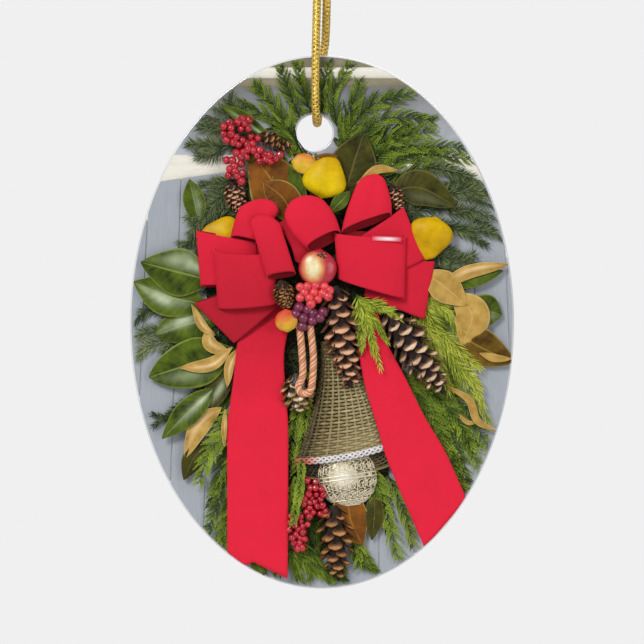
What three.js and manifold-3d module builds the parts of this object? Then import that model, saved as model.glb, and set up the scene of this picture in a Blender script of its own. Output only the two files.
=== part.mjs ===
// An oval ceramic ornament on a gold cord. Its face shows a Christmas swag with a red bow, fruit,
// cones and a wicker bell, in low relief. Millimetres, +Z up, the face looks along -Y.
// The origin is the top of the cord's knot, where the ornament is hung.
import * as THREE from "three";
import { mergeVertices } from "three/addons/utils/BufferGeometryUtils.js";
import Module from "manifold-3d";

const wasm = await Module();
wasm.setup();

// Driving dimensions
const DISC_HEIGHT = 98;
const DISC_WIDTH = 70.6;
const DISC_THICKNESS = 3;
const EDGE_ROUND = 0.5; // the glaze rounds the disc's edges
const PICTURE_INSET = 0.6; // white rim left round the picture
const HOLE_DIAMETER = 6.6;
const HOLE_X = -1.4; // the hole sits a little left of the middle
const HOLE_BELOW_TOP = 14.15;
const CORD_DIAMETER = 1.6;
const CORD_BEND = 3.5; // radius of the cord's turn through the hole
const KNOT_DIAMETER = 4.4;
const KNOT_GAP = 0.3;
const KNOT_ABOVE_DISC = 17.5; // top of the knot, above the disc's top edge

const DISC_CENTRE_Z = -(KNOT_ABOVE_DISC + DISC_HEIGHT / 2);
const HOLE_Z = DISC_HEIGHT / 2 - HOLE_BELOW_TOP; // above the disc's middle
const HOLE_RADIUS = HOLE_DIAMETER / 2;

// Relief layers, each [back, front] in front of the disc's face
const BOARDS = [0, 0.3];
const TRIM = [0.3, 0.5];
const BOUGH = [0.5, 0.9];
const SPRIG = [0.9, 1.3];
const LEAF_BACK = [1.3, 1.6];
const LEAF_MIDDLE = [1.6, 1.9];
const LEAF_FRONT = [1.9, 2.2];
const BELL = [1.3, 3.2];
const MOUTH = [1.3, 1.8];
const FRUIT = [2.2, 3.8];
const SMALL_ITEM = [2.2, 3.2];
const LOOP_BACK = [2.3, 3.0];
const LOOP_MIDDLE = [3.1, 4.0];
const LOOP_FRONT = [4.1, 5.0];
const TAIL = [3.3, 3.7];
const CONE = [3.8, 5.0];
const CENTRE = [5.1, 6.3];

function paint(color, roughness, metalness = 0) {
  return new THREE.MeshStandardMaterial({ color, roughness, metalness });
}

const finish = {
  glaze: paint(0xf0efec, 0.15),
  goldCord: paint(0xdcaf32, 0.35, 0.8),
  board: paint(0xa5aab2, 0.5),
  trim: paint(0xe6e1cd, 0.5),
  ribbon: paint(0xdc2436, 0.8),
  cedar: paint(0x4b821e, 0.7),
  fir: paint(0x325032, 0.7),
  cypress: paint(0x96be3c, 0.7),
  leaf: paint(0x46691e, 0.35),
  leafUnderside: paint(0xc89655, 0.7),
  pear: paint(0xe6c80a, 0.4),
  apple: paint(0xd2502d, 0.3),
  peach: paint(0xe68c3c, 0.4),
  redBerry: paint(0xaa0a23, 0.25),
  coralBerry: paint(0xe1464b, 0.3),
  purpleBerry: paint(0x5f234b, 0.3),
  cone: paint(0x4a3527, 0.8),
  wicker: paint(0xaa9b6e, 0.6),
  rim: paint(0xe1d7d7, 0.5),
  filigree: paint(0xcdc8af, 0.3, 0.8),
  rope: paint(0xdc7864, 0.6),
};

// The ornament's own frame: its middle on the disc's axis, its face at y = 0.
const ornament = new THREE.Group();
ornament.position.set(0, -DISC_THICKNESS / 2, DISC_CENTRE_Z);
const cordSet = new THREE.Group();
const object = new THREE.Group();
object.add(ornament, cordSet);

// ---- Shapes drawn on the face, x to the right and z up from the disc's middle ----

function polygon(points) {
  return new THREE.Shape(points.map(([x, z]) => new THREE.Vector2(x, z)));
}

// A closed smooth outline through the points.
function blob(points, steps = 24) {
  const knots = points.map(([x, z]) => new THREE.Vector3(x, z, 0));
  const curve = new THREE.CatmullRomCurve3(knots, true, "centripetal");
  const ring = curve.getPoints(steps).slice(0, -1);
  return polygon(ring.map((p) => [p.x, p.y]));
}

function oval(x, z, halfWidth, halfHeight, steps = 20) {
  const ring = Array.from({ length: steps }, (_, i) => {
    const turn = (2 * Math.PI * i) / steps;
    return [x + halfWidth * Math.cos(turn), z + halfHeight * Math.sin(turn)];
  });
  return polygon(ring);
}

// A pointed outline from its root to its tip, widest at the given part of its length.
function blade([rootX, rootZ], [tipX, tipZ], width, widest = 0.45) {
  const along = new THREE.Vector2(tipX - rootX, tipZ - rootZ);
  const across = new THREE.Vector2(-along.y, along.x).setLength(width);
  const middle = new THREE.Vector2(rootX, rootZ).addScaledVector(along, widest);
  const left = middle.clone().add(across);
  const right = middle.clone().sub(across);
  const shape = new THREE.Shape();
  shape.moveTo(rootX, rootZ);
  shape.quadraticCurveTo(right.x, right.y, tipX, tipZ);
  shape.quadraticCurveTo(left.x, left.y, rootX, rootZ);
  return shape;
}

// A rounded egg outline round the line from its base to its tip.
function egg([baseX, baseZ], [tipX, tipZ], width) {
  const middle = new THREE.Vector2((baseX + tipX) / 2, (baseZ + tipZ) / 2);
  const along = new THREE.Vector2(tipX - baseX, tipZ - baseZ);
  const half = along.length() / 2;
  const shape = new THREE.Shape();
  shape.absellipse(middle.x, middle.y, half, width / 2, 0, 2 * Math.PI, false, along.angle());
  return shape;
}

// ---- Solids ----

function extruded(shape, depth) {
  return new THREE.ExtrudeGeometry(shape, { depth, bevelEnabled: false, curveSegments: 8 });
}

function toSolid(geometry) {
  const bare = geometry.clone();
  bare.deleteAttribute("normal");
  bare.deleteAttribute("uv");
  const merged = mergeVertices(bare, 1e-4);
  return new wasm.Manifold(
    new wasm.Mesh({
      numProp: 3,
      vertProperties: merged.attributes.position.array,
      triVerts: new Uint32Array(merged.index.array),
    }),
  );
}

function toGeometry(solid) {
  const { vertProperties, triVerts } = solid.getMesh();
  const geometry = new THREE.BufferGeometry();
  geometry.setAttribute("position", new THREE.BufferAttribute(new Float32Array(vertProperties), 3));
  geometry.setIndex(new THREE.BufferAttribute(new Uint32Array(triVerts), 1));
  geometry.computeVertexNormals();
  return geometry;
}

// The picture's field: the oval inside the white rim, less the hole and its rim.
const FIELD_DEPTH = 10;
const fieldOutline = oval(
  0, 0, DISC_WIDTH / 2 - PICTURE_INSET, DISC_HEIGHT / 2 - PICTURE_INSET, 80,
);
const holeOutline = oval(HOLE_X, HOLE_Z, HOLE_RADIUS + PICTURE_INSET, HOLE_RADIUS + PICTURE_INSET, 32);
fieldOutline.holes.push(new THREE.Path(holeOutline.getPoints().reverse()));
const field = toSolid(extruded(fieldOutline, FIELD_DEPTH).translate(0, 0, -FIELD_DEPTH / 4));

function place(name, geometry, [back], material) {
  const mesh = new THREE.Mesh(geometry, material);
  mesh.name = name;
  mesh.rotation.x = Math.PI / 2;
  mesh.position.y = -back;
  ornament.add(mesh);
}

// A flat piece of the picture, in one layer, cut off at the edge of the picture's field.
function relief(name, shape, layer, material) {
  const [back, front] = layer;
  const cut = toSolid(extruded(shape, front - back)).intersect(field);
  place(name, toGeometry(cut), layer, material);
}

// ---- Disc and background ----

function addDisc() {
  const outline = oval(0, 0, DISC_WIDTH / 2, DISC_HEIGHT / 2, 96);
  const hole = oval(HOLE_X, HOLE_Z, HOLE_RADIUS, HOLE_RADIUS, 40);
  outline.holes.push(new THREE.Path(hole.getPoints().reverse()));
  const geometry = new THREE.ExtrudeGeometry(outline, {
    depth: DISC_THICKNESS - 2 * EDGE_ROUND,
    bevelThickness: EDGE_ROUND,
    bevelSize: EDGE_ROUND,
    bevelOffset: -EDGE_ROUND,
    bevelSegments: 2,
  });
  geometry.translate(0, 0, -DISC_THICKNESS + EDGE_ROUND);
  place("ceramic_disc", geometry, [0], finish.glaze);
}

function addDoor() {
  relief("door_boards", oval(0, 0, DISC_WIDTH, DISC_HEIGHT), BOARDS, finish.board);
  const topTrim = polygon([[-20, 45], [20, 45], [20, 47], [-20, 47]]);
  relief("door_trim_top", topTrim, TRIM, finish.trim);
  const crossTrim = polygon([[-36, 27], [36, 28.6], [36, 32], [-36, 30.6]]);
  relief("door_trim_cross", crossTrim, TRIM, finish.trim);
}

// ---- Greenery ----

function addGreenery() {
  const { cedar, fir, cypress } = finish;
  const cedarTop = [
    [-15.5, 41], [-9, 46], [-2, 47], [5, 45], [17, 42.5], [24, 37], [28.5, 30], [20, 26],
    [-8, 26], [-12, 32],
  ];
  relief("cedar_top", blob(cedarTop, 30), BOUGH, cedar);
  const firLeft = [[-25, 38], [-20, 43], [-13, 38], [-9, 30], [-14, 16], [-22.5, 13.5], [-25, 19], [-21, 29]];
  relief("fir_left", blob(firLeft), SPRIG, fir);
  const firRight = [[11, 23], [22, 25], [30, 25], [34, 17], [28, 12], [18, 10], [12, 15]];
  relief("fir_right", blob(firRight), SPRIG, fir);
  const core = [
    [-15, 22], [8, 24], [16, 6], [14, -14], [10, -30], [-12, -30], [-20, -15], [-30, -20],
    [-31, -8], [-34, 3], [-26, 5],
  ];
  relief("bough_core", blob(core, 36), TRIM, fir);
  relief("cypress_right", blade([17, 7], [31, -19], 14), SPRIG, cypress);
  relief("cedar_right_low", blade([13.5, -9], [28.5, -34], 16), BOUGH, cedar);
  relief("cedar_left_low", blade([-15, -17], [-22, -38.5], 13), SPRIG, cedar);
  const bottom = [[-14, -40], [-3, -36], [8, -28], [12, -34], [14, -43], [1, -49], [-12, -46]];
  relief("cedar_bottom", blob(bottom), SPRIG, cedar);
  relief("cypress_centre", blade([8, 6], [11, -8.5], 9), [5.1, 5.4], cypress);
}

// ---- Magnolia leaves ----

function addLeaves() {
  const { leaf, leafUnderside } = finish;
  relief("leaf_left_upper", blade([-20.5, 7], [-33, 10.8], 7.5), LEAF_BACK, leaf);
  relief("leaf_left_lower", blade([-20.5, 3.5], [-34.3, 7.2], 6.5), LEAF_MIDDLE, leaf);
  relief("leaf_left_curled", blade([-16, -5.5], [-31.6, -10.4], 9), LEAF_BACK, leaf);
  relief("leaf_left_diagonal", blade([-16, -11], [-29.2, -21.3], 6.5), LEAF_MIDDLE, leaf);
  relief("leaf_left_tan", blade([-18.2, -16], [-25.4, -25.6], 5), LEAF_FRONT, leafUnderside);
  relief("leaf_brown_folded", blade([-4, 20.8], [-14.2, 30.4], 9.5), LEAF_BACK, leafUnderside);
  relief("leaf_behind_pear", blade([2.5, 21], [7.6, 34.6], 9.5), LEAF_MIDDLE, leaf);
  relief("leaf_right_dark", blade([12.6, 25.2], [24.3, 21.4], 6.5), LEAF_MIDDLE, leaf);
  relief("leaf_right_tan", blade([18.8, 9], [26.5, 2.5], 7), LEAF_BACK, leafUnderside);
  relief("leaf_right_orange", blade([26, 4.6], [27.4, -5], 7), LEAF_MIDDLE, leafUnderside);
  relief("leaf_right_brown", blade([25, -1.5], [35, -7], 6.5), LEAF_BACK, leafUnderside);
  relief("leaf_below_ball", blade([4.2, -32], [7.4, -40.8], 7.5), LEAF_BACK, leafUnderside);
}

// ---- Fruit, berries and cones ----

function addFruit() {
  const pearUpper = [[-3.8, 24.7], [-3.3, 26.6], [-0.8, 28.6], [1.6, 30.3], [3.2, 28], [3.8, 24.7], [0, 23.9]];
  relief("pear_upper", blob(pearUpper), FRUIT, finish.pear);
  const pearLeft = [[-20.9, 17.1], [-18.5, 18.6], [-16.4, 18.8], [-16.2, 16.8]];
  relief("pear_left", polygon(pearLeft), [2.2, 2.9], finish.pear);
  const pearRight = [[16.7, 18.7], [20.5, 18.9], [23.2, 17.8], [22.2, 14.6], [19.4, 12.2], [18.9, 13.2]];
  relief("pear_right", polygon(pearRight), FRUIT, finish.pear);
  relief("crab_apple_upper", oval(-3.7, 29.9, 2, 1.3, 16), SMALL_ITEM, finish.peach);
  relief("apple_centre", oval(-0.9, 9.9, 3.5, 3.5), CENTRE, finish.apple);
  relief("peach_centre", oval(-6.5, 0.3, 2.1, 2.1, 16), CENTRE, finish.peach);
}

function addBerries() {
  const upper = [[-18.6, 35.2], [-14.2, 37.4], [-11.6, 33], [-8, 30.8], [-9, 28.6], [-13.8, 29.6], [-16.4, 31]];
  relief("berries_red_upper", blob(upper), SMALL_ITEM, finish.redBerry);
  const coral = [[-5, 6.1], [-2.6, 5.7], [0, 5.7], [2, 6.4], [2.1, 4.1], [-1.2, 2.3], [-4.8, 3.4]];
  relief("berries_coral", polygon(coral), CENTRE, finish.coralBerry);
  const purple = [[-4.2, 2.9], [-1.3, 1.8], [1.3, 3.1], [1.2, 0.6], [-1.4, -1], [-3.7, -1.7], [-4, 0]];
  relief("berries_purple", polygon(purple), CENTRE, finish.purpleBerry);
  const lower = [
    [-2.8, -29.9], [-1.7, -29.9], [-0.9, -32.3], [0.9, -34.4], [-0.4, -35.4], [-2.2, -38],
    [-2.6, -41], [-4.6, -41.6], [-5.8, -39], [-3.6, -35], [-2.9, -33],
  ];
  relief("berries_red_lower", polygon(lower), SMALL_ITEM, finish.redBerry);
}

function addCones() {
  const cones = [
    ["cone_centre", [2.6, 6.1], [5.1, -11.5], 6.6, CONE],
    ["cone_right", [12.4, 0.6], [22, -12.2], 8, CONE],
    ["cone_bottom", [2.6, -34.8], [2.6, -46.3], 5.6, [1.6, 3.2]],
    ["cone_left_round", [-9.2, 5.1], [-4.9, 5.1], 4.2, CENTRE],
    ["cone_gold_tipped", [-4.2, -10.6], [-4.2, -16], 5, [1.6, 3]],
  ];
  cones.forEach(([name, base, tip, width, layer]) => {
    relief(name, egg(base, tip, width), layer, finish.cone);
  });
}

// ---- Bow ----

function addBow() {
  const loops = [
    ["bow_loop_far_left", LOOP_BACK, [
      [-23.1, 16.8], [-16.2, 16.1], [-13, 13], [-13, 7], [-19.7, 6.4], [-22.3, 6.6],
    ]],
    ["bow_loop_lower_left", LOOP_BACK, [[-23.4, 3.4], [-19.7, 4.9], [-9, 2.8], [-16.2, -3.9]]],
    ["bow_loop_upper_left", LOOP_MIDDLE, [
      [-14.8, 22], [-11.5, 22.9], [-8.2, 21.1], [-7, 16], [-9.5, 12.5], [-13.9, 13.1], [-16.8, 13.6],
    ]],
    ["bow_loop_centre_left", [5.1, 5.6], [
      [-13.1, 19], [-9.4, 19.8], [-7.7, 17.9], [-4.8, 8.7], [-7.3, 7.5], [-10, 7.7], [-12, 13.3],
    ]],
    ["bow_loop_left_front", LOOP_FRONT, [
      [-19.9, 13], [-12, 13.4], [-9.5, 9], [-8.6, 3.1], [-15.2, 1.9], [-19.1, 2.3],
    ]],
    ["bow_loop_top", [4.1, 5.4], [
      [-6.7, 19.3], [-5.7, 21.7], [-2, 23.4], [1.5, 22], [3.2, 18.5], [3.4, 16.2], [2.3, 13.6],
      [-2.8, 13.5], [-5.1, 16.2],
    ]],
    ["bow_loop_top_right", LOOP_MIDDLE, [
      [9.4, 27], [5.1, 22.8], [4, 19.2], [3.9, 16.6], [7, 16.5], [12.8, 19.8], [12.1, 24.1], [10.8, 26.6],
    ]],
    ["bow_loop_right_upper", LOOP_BACK, [[8.3, 15.8], [12.9, 19.4], [15, 21.1], [18.8, 11.6], [15.6, 10], [9, 11]]],
    ["bow_loop_right_lower", [1.7, 2.2], [[15.4, 9.7], [20.7, 11.1], [18.8, 0.5], [12.6, 3.1]]],
    ["bow_loop_right_front", LOOP_FRONT, [
      [4, 16], [15.4, 15.2], [15.2, 4.2], [10, 4.1], [6.2, 5.4], [4.2, 7.6], [3.4, 13],
    ]],
    ["bow_tail_left", [2.3, 2.7], [
      [-15.2, -5.1], [-12, -1.2], [-7.3, -2.6], [-7.3, -7.1], [-6.2, -20.2], [-6.4, -46.2],
      [-12.4, -43.6], [-14.5, -45.1], [-17.4, -43], [-17.4, -22.4], [-16.1, -10.8],
    ]],
    ["bow_tail_right", TAIL, [
      [6.4, -3], [11.2, -3], [14.8, -9.5], [22.6, -23.9], [26.5, -32.6], [18.9, -41.2],
      [12.5, -26.9], [10.3, -19.5], [7.7, -10.1],
    ]],
  ];
  loops.forEach(([name, layer, points]) => {
    relief(name, polygon(points), layer, finish.ribbon);
  });
}

// ---- Bell ----

function addBell() {
  const body = [
    [-0.2, -3.5], [3.4, -3.2], [4.6, -9], [7.2, -15], [10.2, -21], [11.4, -22.9],
    [6, -24.1], [0, -24.3], [-4.4, -25.6], [-2.8, -21], [-1.3, -15], [-0.3, -9],
  ];
  relief("bell_wicker_body", polygon(body), BELL, finish.wicker);
  const rim = [
    [11.5, -23], [11.5, -23.8], [6, -25], [0, -25.2], [-4.4, -26.6], [-4.7, -25.9], [0, -24.4], [6, -24.2],
  ];
  relief("bell_twisted_rim", polygon(rim), [2.4, 3.2], finish.rim);
  const mouth = [
    [-4.4, -26.7], [0, -25.4], [6, -25.1], [11.5, -24], [13.4, -24.6], [12.4, -26.2],
    [10, -27.4], [4, -28.4], [-2, -28.4],
  ];
  relief("bell_mouth", polygon(mouth), MOUTH, finish.wicker);
  const ballRadius = 5.75;
  const ball = new THREE.Shape();
  ball.absarc(4.65, -28.4, ballRadius, 0.16 * Math.PI, 0.84 * Math.PI, true);
  relief("bell_clapper_ball", ball, [1.9, 4.9], finish.filigree);
}

function addRope() {
  const ropeDiameter = 1.4;
  const depth = 4.1;
  const route = [[-3.8, -1.6], [-4.5, -7], [-4.6, -11], [-3.5, -12.6], [-2.2, -11], [-1.5, -6], [-2.2, -2]];
  const path = new THREE.CatmullRomCurve3(route.map(([x, z]) => new THREE.Vector3(x, -depth, z)));
  const section = oval(0, 0, ropeDiameter / 2, ropeDiameter / 2, 8);
  const geometry = new THREE.ExtrudeGeometry(section, { steps: 24, extrudePath: path });
  const mesh = new THREE.Mesh(geometry, finish.rope);
  mesh.name = "rope_loop";
  ornament.add(mesh);
}

// ---- Cord ----

// Down the front of the disc, round through the hole and up its back, to the knot.
function cordRoute() {
  const turnZ = DISC_CENTRE_Z + HOLE_Z + HOLE_RADIUS + 1.95;
  const edgeZ = DISC_CENTRE_Z + DISC_HEIGHT / 2 + 0.6;
  const knotZ = -KNOT_DIAMETER - KNOT_GAP;
  const points = [
    [-0.88, 0, knotZ],
    [-0.9, -0.25, -6.2],
    [-1.0, -1.4, -10.4],
    [-1.1, -2.7, -14.8],
    [-1.15, -3.4, edgeZ],
    [-1.2, -CORD_BEND, edgeZ - 4],
    [-1.2, -CORD_BEND, turnZ + 1.5],
  ];
  for (let i = 0; i <= 8; i++) {
    const turn = (Math.PI * i) / 8;
    const x = -1.2 + (0.6 * i) / 8;
    points.push([x, -CORD_BEND * Math.cos(turn), turnZ - CORD_BEND * Math.sin(turn)]);
  }
  points.push(
    [-0.5, CORD_BEND, turnZ + 1.5],
    [-0.1, CORD_BEND, edgeZ - 4],
    [0.3, 3.4, edgeZ],
    [0.6, 2.7, -14.8],
    [0.8, 1.4, -10.4],
    [0.88, 0.25, -6.2],
    [0.88, 0, knotZ],
  );
  return points.map(([x, y, z]) => new THREE.Vector3(x, y, z));
}

function tube(path, steps) {
  const section = oval(0, 0, CORD_DIAMETER / 2, CORD_DIAMETER / 2, 8);
  return new THREE.ExtrudeGeometry(section, { steps, extrudePath: path });
}

function addToCord(name, geometry) {
  const mesh = new THREE.Mesh(geometry, finish.goldCord);
  mesh.name = name;
  cordSet.add(mesh);
  return mesh;
}

function addCord() {
  addToCord("hanging_cord", tube(new THREE.CatmullRomCurve3(cordRoute()), 72));
  const knot = addToCord("cord_knot", new THREE.SphereGeometry(KNOT_DIAMETER / 2, 20, 12));
  knot.position.z = -KNOT_DIAMETER / 2;
  // The two cut ends stand up from the knot, pressed together where they leave it.
  const ends = [-1, 1].map((side) => {
    const root = new THREE.Vector3(0.5 * side, 0, KNOT_GAP);
    const tip = new THREE.Vector3(1.9 * side, 0, 5.4);
    return toSolid(tube(new THREE.LineCurve3(root, tip), 1));
  });
  addToCord("cord_ends", toGeometry(ends[0].add(ends[1])));
}

addDisc();
addDoor();
addGreenery();
addLeaves();
addFruit();
addBerries();
addCones();
addBow();
addBell();
addRope();
addCord();

export default object;
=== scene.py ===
"""An oval ceramic ornament on a gold cord, its face a Christmas door swag in low relief.

Places on the face are in millimetres: x to the right and z up from the disc's middle, and d in
front of its face. A Place turns a CAD node's box into them, and Place.at takes fractions of it.
"""
import math
import random

import bpy
import numpy as np
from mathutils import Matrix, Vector
from mathutils.geometry import delaunay_2d_cdt

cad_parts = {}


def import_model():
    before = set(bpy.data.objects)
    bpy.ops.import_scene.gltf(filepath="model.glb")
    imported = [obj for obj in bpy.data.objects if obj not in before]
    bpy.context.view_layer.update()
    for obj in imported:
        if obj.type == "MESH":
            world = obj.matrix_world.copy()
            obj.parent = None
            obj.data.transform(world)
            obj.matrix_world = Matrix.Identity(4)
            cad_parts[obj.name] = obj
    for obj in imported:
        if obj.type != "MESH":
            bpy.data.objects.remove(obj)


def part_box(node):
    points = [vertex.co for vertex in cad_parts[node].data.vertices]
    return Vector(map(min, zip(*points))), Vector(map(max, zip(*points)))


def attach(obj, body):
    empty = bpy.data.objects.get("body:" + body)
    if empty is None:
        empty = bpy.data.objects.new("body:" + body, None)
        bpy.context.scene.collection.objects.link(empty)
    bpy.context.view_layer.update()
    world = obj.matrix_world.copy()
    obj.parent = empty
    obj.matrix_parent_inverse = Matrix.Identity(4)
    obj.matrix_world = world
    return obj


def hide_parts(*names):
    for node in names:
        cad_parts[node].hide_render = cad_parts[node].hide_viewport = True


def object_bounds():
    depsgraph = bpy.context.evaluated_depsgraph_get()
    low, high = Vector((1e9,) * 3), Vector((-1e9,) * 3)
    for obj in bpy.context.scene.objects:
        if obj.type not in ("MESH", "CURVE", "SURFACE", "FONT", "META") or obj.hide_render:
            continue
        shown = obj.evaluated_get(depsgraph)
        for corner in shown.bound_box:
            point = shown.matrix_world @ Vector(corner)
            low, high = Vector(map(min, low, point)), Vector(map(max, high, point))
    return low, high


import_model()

cad_low, cad_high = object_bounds()
MM = 0.001
BODY = "ornament"

disc_low, disc_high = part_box("ceramic_disc")
MIDDLE = (disc_low + disc_high) / 2
FACE_Y = disc_low.y
HALF_WIDTH = (disc_high.x - disc_low.x) / 2 / MM
HALF_HEIGHT = (disc_high.z - disc_low.z) / 2 / MM
THICKNESS = (disc_high.y - disc_low.y) / MM
RIM = 0.3  # white rim left round the picture and the hole
EDGE_ROUND = 0.35  # radius of the disc's rounded edges
PICTURE_WIDTH, PICTURE_HEIGHT = HALF_WIDTH - RIM, HALF_HEIGHT - RIM  # half of each
HOLE_RADIUS = 3.3
HOLE_DOWN = 14.15  # from the disc's top to the hole's middle
HOLE = (-1.4, HALF_HEIGHT - HOLE_DOWN)


# ---------------------------------------------------------------- places

def world(x, z, d):
    return (MIDDLE.x + x * MM, FACE_Y - d * MM, MIDDLE.z + z * MM)


class Place:
    """A CAD node's box, in the picture's millimetres."""

    def __init__(self, node):
        low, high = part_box(node)
        self.left, self.right = (low.x - MIDDLE.x) / MM, (high.x - MIDDLE.x) / MM
        self.bottom, self.top = (low.z - MIDDLE.z) / MM, (high.z - MIDDLE.z) / MM

    def at(self, across, up):
        x = self.left + (self.right - self.left) * across
        z = self.bottom + (self.top - self.bottom) * up
        return np.array([x, z])


def at(node, across, up):
    return Place(node).at(across, up)


def along(node, *shares):
    """Places in a node's box, from shares across and up in turn."""
    return [at(node, *pair) for pair in zip(shares[::2], shares[1::2])]


def inside(x, z, margin=0.0):
    """True where the picture's field holds the point: in the oval and clear of the hole."""
    a, b = PICTURE_WIDTH - margin, PICTURE_HEIGHT - margin
    in_oval = (x / a) ** 2 + (z / b) ** 2 <= 1
    off_hole = (x - HOLE[0]) ** 2 + (z - HOLE[1]) ** 2 >= (HOLE_RADIUS + RIM + margin) ** 2
    return in_oval & off_hole


def held_in(points):
    """Points (n, 3) outside the oval field are drawn back to its edge."""
    reach = np.hypot(points[:, 0] / PICTURE_WIDTH, points[:, 1] / PICTURE_HEIGHT)
    points[:, :2] /= np.maximum(reach, 1)[:, None]
    return points


# ---------------------------------------------------------------- meshes

def add_piece(name, points, faces, kind, nodes=(), body=BODY, **attributes):
    """A mesh piece from points (x, z, d) on the face. kind is its material.

    nodes are the CAD nodes that it replaces, and attributes are one float for each point."""
    mesh = bpy.data.meshes.new(name)
    mesh.from_pydata([world(*p) for p in points], [], faces)
    for key, values in attributes.items():
        layer = mesh.attributes.new(key, "FLOAT", "POINT")
        layer.data.foreach_set("value", np.asarray(values, np.float32))
    mesh.polygons.foreach_set("use_smooth", [True] * len(mesh.polygons))
    mesh.materials.append(MATERIALS[kind])
    mesh.update()
    piece = bpy.data.objects.new(name, mesh)
    bpy.context.scene.collection.objects.link(piece)
    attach(piece, body)
    if nodes:
        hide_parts(*nodes)
    return piece


def grid_faces(rows, columns, wrap_rows=False, wrap_columns=False):
    """Quads of a grid whose points run row by row."""
    faces = []
    for i in range(rows if wrap_rows else rows - 1):
        for j in range(columns if wrap_columns else columns - 1):
            a = i * columns + j
            b = i * columns + (j + 1) % columns
            c = (i + 1) % rows * columns + (j + 1) % columns
            e = (i + 1) % rows * columns + j
            faces.append((a, e, c, b))
    return faces


def turned_over(faces):
    return [face[::-1] for face in faces]


def tube_faces(rings, sides):
    """Quads round a tube of rings, with one face over each end."""
    count = rings * sides
    ends = [tuple(range(sides)), tuple(range(count - 1, count - sides - 1, -1))]
    return grid_faces(rings, sides, wrap_columns=True) + ends


def circle(count):
    """Angles once round, in the order that turns a tube's faces outwards."""
    return np.linspace(2 * math.pi, 0, count, endpoint=False)


def run_along(line):
    """The distance from a line's start to each of its points."""
    steps = np.linalg.norm(np.diff(line, axis=0), axis=1)
    return np.concatenate([[0], np.cumsum(steps)])


class Parts:
    """Gathers many small forms into one mesh."""

    def __init__(self):
        self.points, self.faces, self.tone = [], [], []
        self.count = 0

    def add(self, points, faces, tone=0.0):
        points = np.asarray(points, float)
        self.points.append(points)
        self.faces.extend(tuple(self.count + i for i in face) for face in faces)
        self.tone.append(np.broadcast_to(np.asarray(tone, float), (len(points),)))
        self.count += len(points)

    def piece(self, name, kind, nodes=(), body=BODY):
        points = np.concatenate(self.points)
        tone = np.concatenate(self.tone)
        return add_piece(name, points, self.faces, kind, nodes, body, tone=tone)


def solidified(piece, thickness, lining=None):
    """Gives a sheet its thickness, behind it. lining is a ribbon's back, which comes with an edge."""
    modifier = piece.modifiers.new("thickness", "SOLIDIFY")
    modifier.thickness = thickness * MM
    modifier.offset = -1.0
    if lining:
        piece.data.materials.append(MATERIALS[lining])
        piece.data.materials.append(MATERIALS["velvet_edge"])
        modifier.material_offset = 1
        modifier.material_offset_rim = 2


def spline(points, count):
    """A smooth line of count points through the given ones."""
    points = np.asarray(points, float)
    padded = np.vstack([2 * points[0] - points[1], points, 2 * points[-1] - points[-2]])
    spans = len(points) - 1
    line = []
    for s in np.linspace(0, spans, count):
        i = min(int(s), spans - 1)
        t = s - i
        a, b, c, e = padded[i:i + 4]
        line.append(0.5 * (2 * b + (c - a) * t + (2 * a - 5 * b + 4 * c - e) * t**2
                           + (3 * b - a - 3 * c + e) * t**3))
    return np.array(line)


def frames_along(line):
    """Two unit vectors across a line at each of its points, turned as little as possible."""
    ahead = np.gradient(line, axis=0)
    ahead /= np.linalg.norm(ahead, axis=1)[:, None]
    side = np.cross(ahead[0], [0.0, 0.0, 1.0])
    if np.linalg.norm(side) < 0.1:
        side = np.cross(ahead[0], [1.0, 0.0, 0.0])
    sides = []
    for direction in ahead:
        side = side - direction * side.dot(direction)
        side /= np.linalg.norm(side)
        sides.append(side)
    sides = np.array(sides)
    return sides, np.cross(ahead, sides)


def rings_round(line, sides):
    """Unit vectors that point away from a line: a ring of them at each of its points."""
    across, up = frames_along(line)
    turn = circle(sides)
    return np.cos(turn)[None, :, None] * across[:, None] + np.sin(turn)[None, :, None] * up[:, None]


def tube(line, radius, sides):
    """Points and faces of a closed tube along a line; radius is a number or one for each point."""
    line = np.asarray(line, float)
    radius = np.broadcast_to(np.asarray(radius, float), (len(line),))
    points = (line[:, None] + rings_round(line, sides) * radius[:, None, None]).reshape(-1, 3)
    return points, tube_faces(len(line), sides)


def ball(rows, columns):
    """Points and faces of a closed ball of radius 1."""
    rise = np.linspace(-math.pi / 2, math.pi / 2, rows)[1:-1]
    points = [[math.cos(r) * math.cos(t), math.cos(r) * math.sin(t), math.sin(r)]
              for r in rise for t in circle(columns)]
    points = np.array(points + [[0, 0, -1], [0, 0, 1]])
    faces = grid_faces(len(rise), columns, wrap_columns=True)
    bottom, top, last = len(points) - 2, len(points) - 1, (len(rise) - 1) * columns
    faces += [(bottom, j, (j + 1) % columns) for j in range(columns)]
    faces += [(top, last + (j + 1) % columns, last + j) for j in range(columns)]
    return points, faces


# ---------------------------------------------------------------- materials

def times(color, factor):
    return tuple(c * factor for c in color)


def grey(level):
    return (level,) * 3


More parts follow.
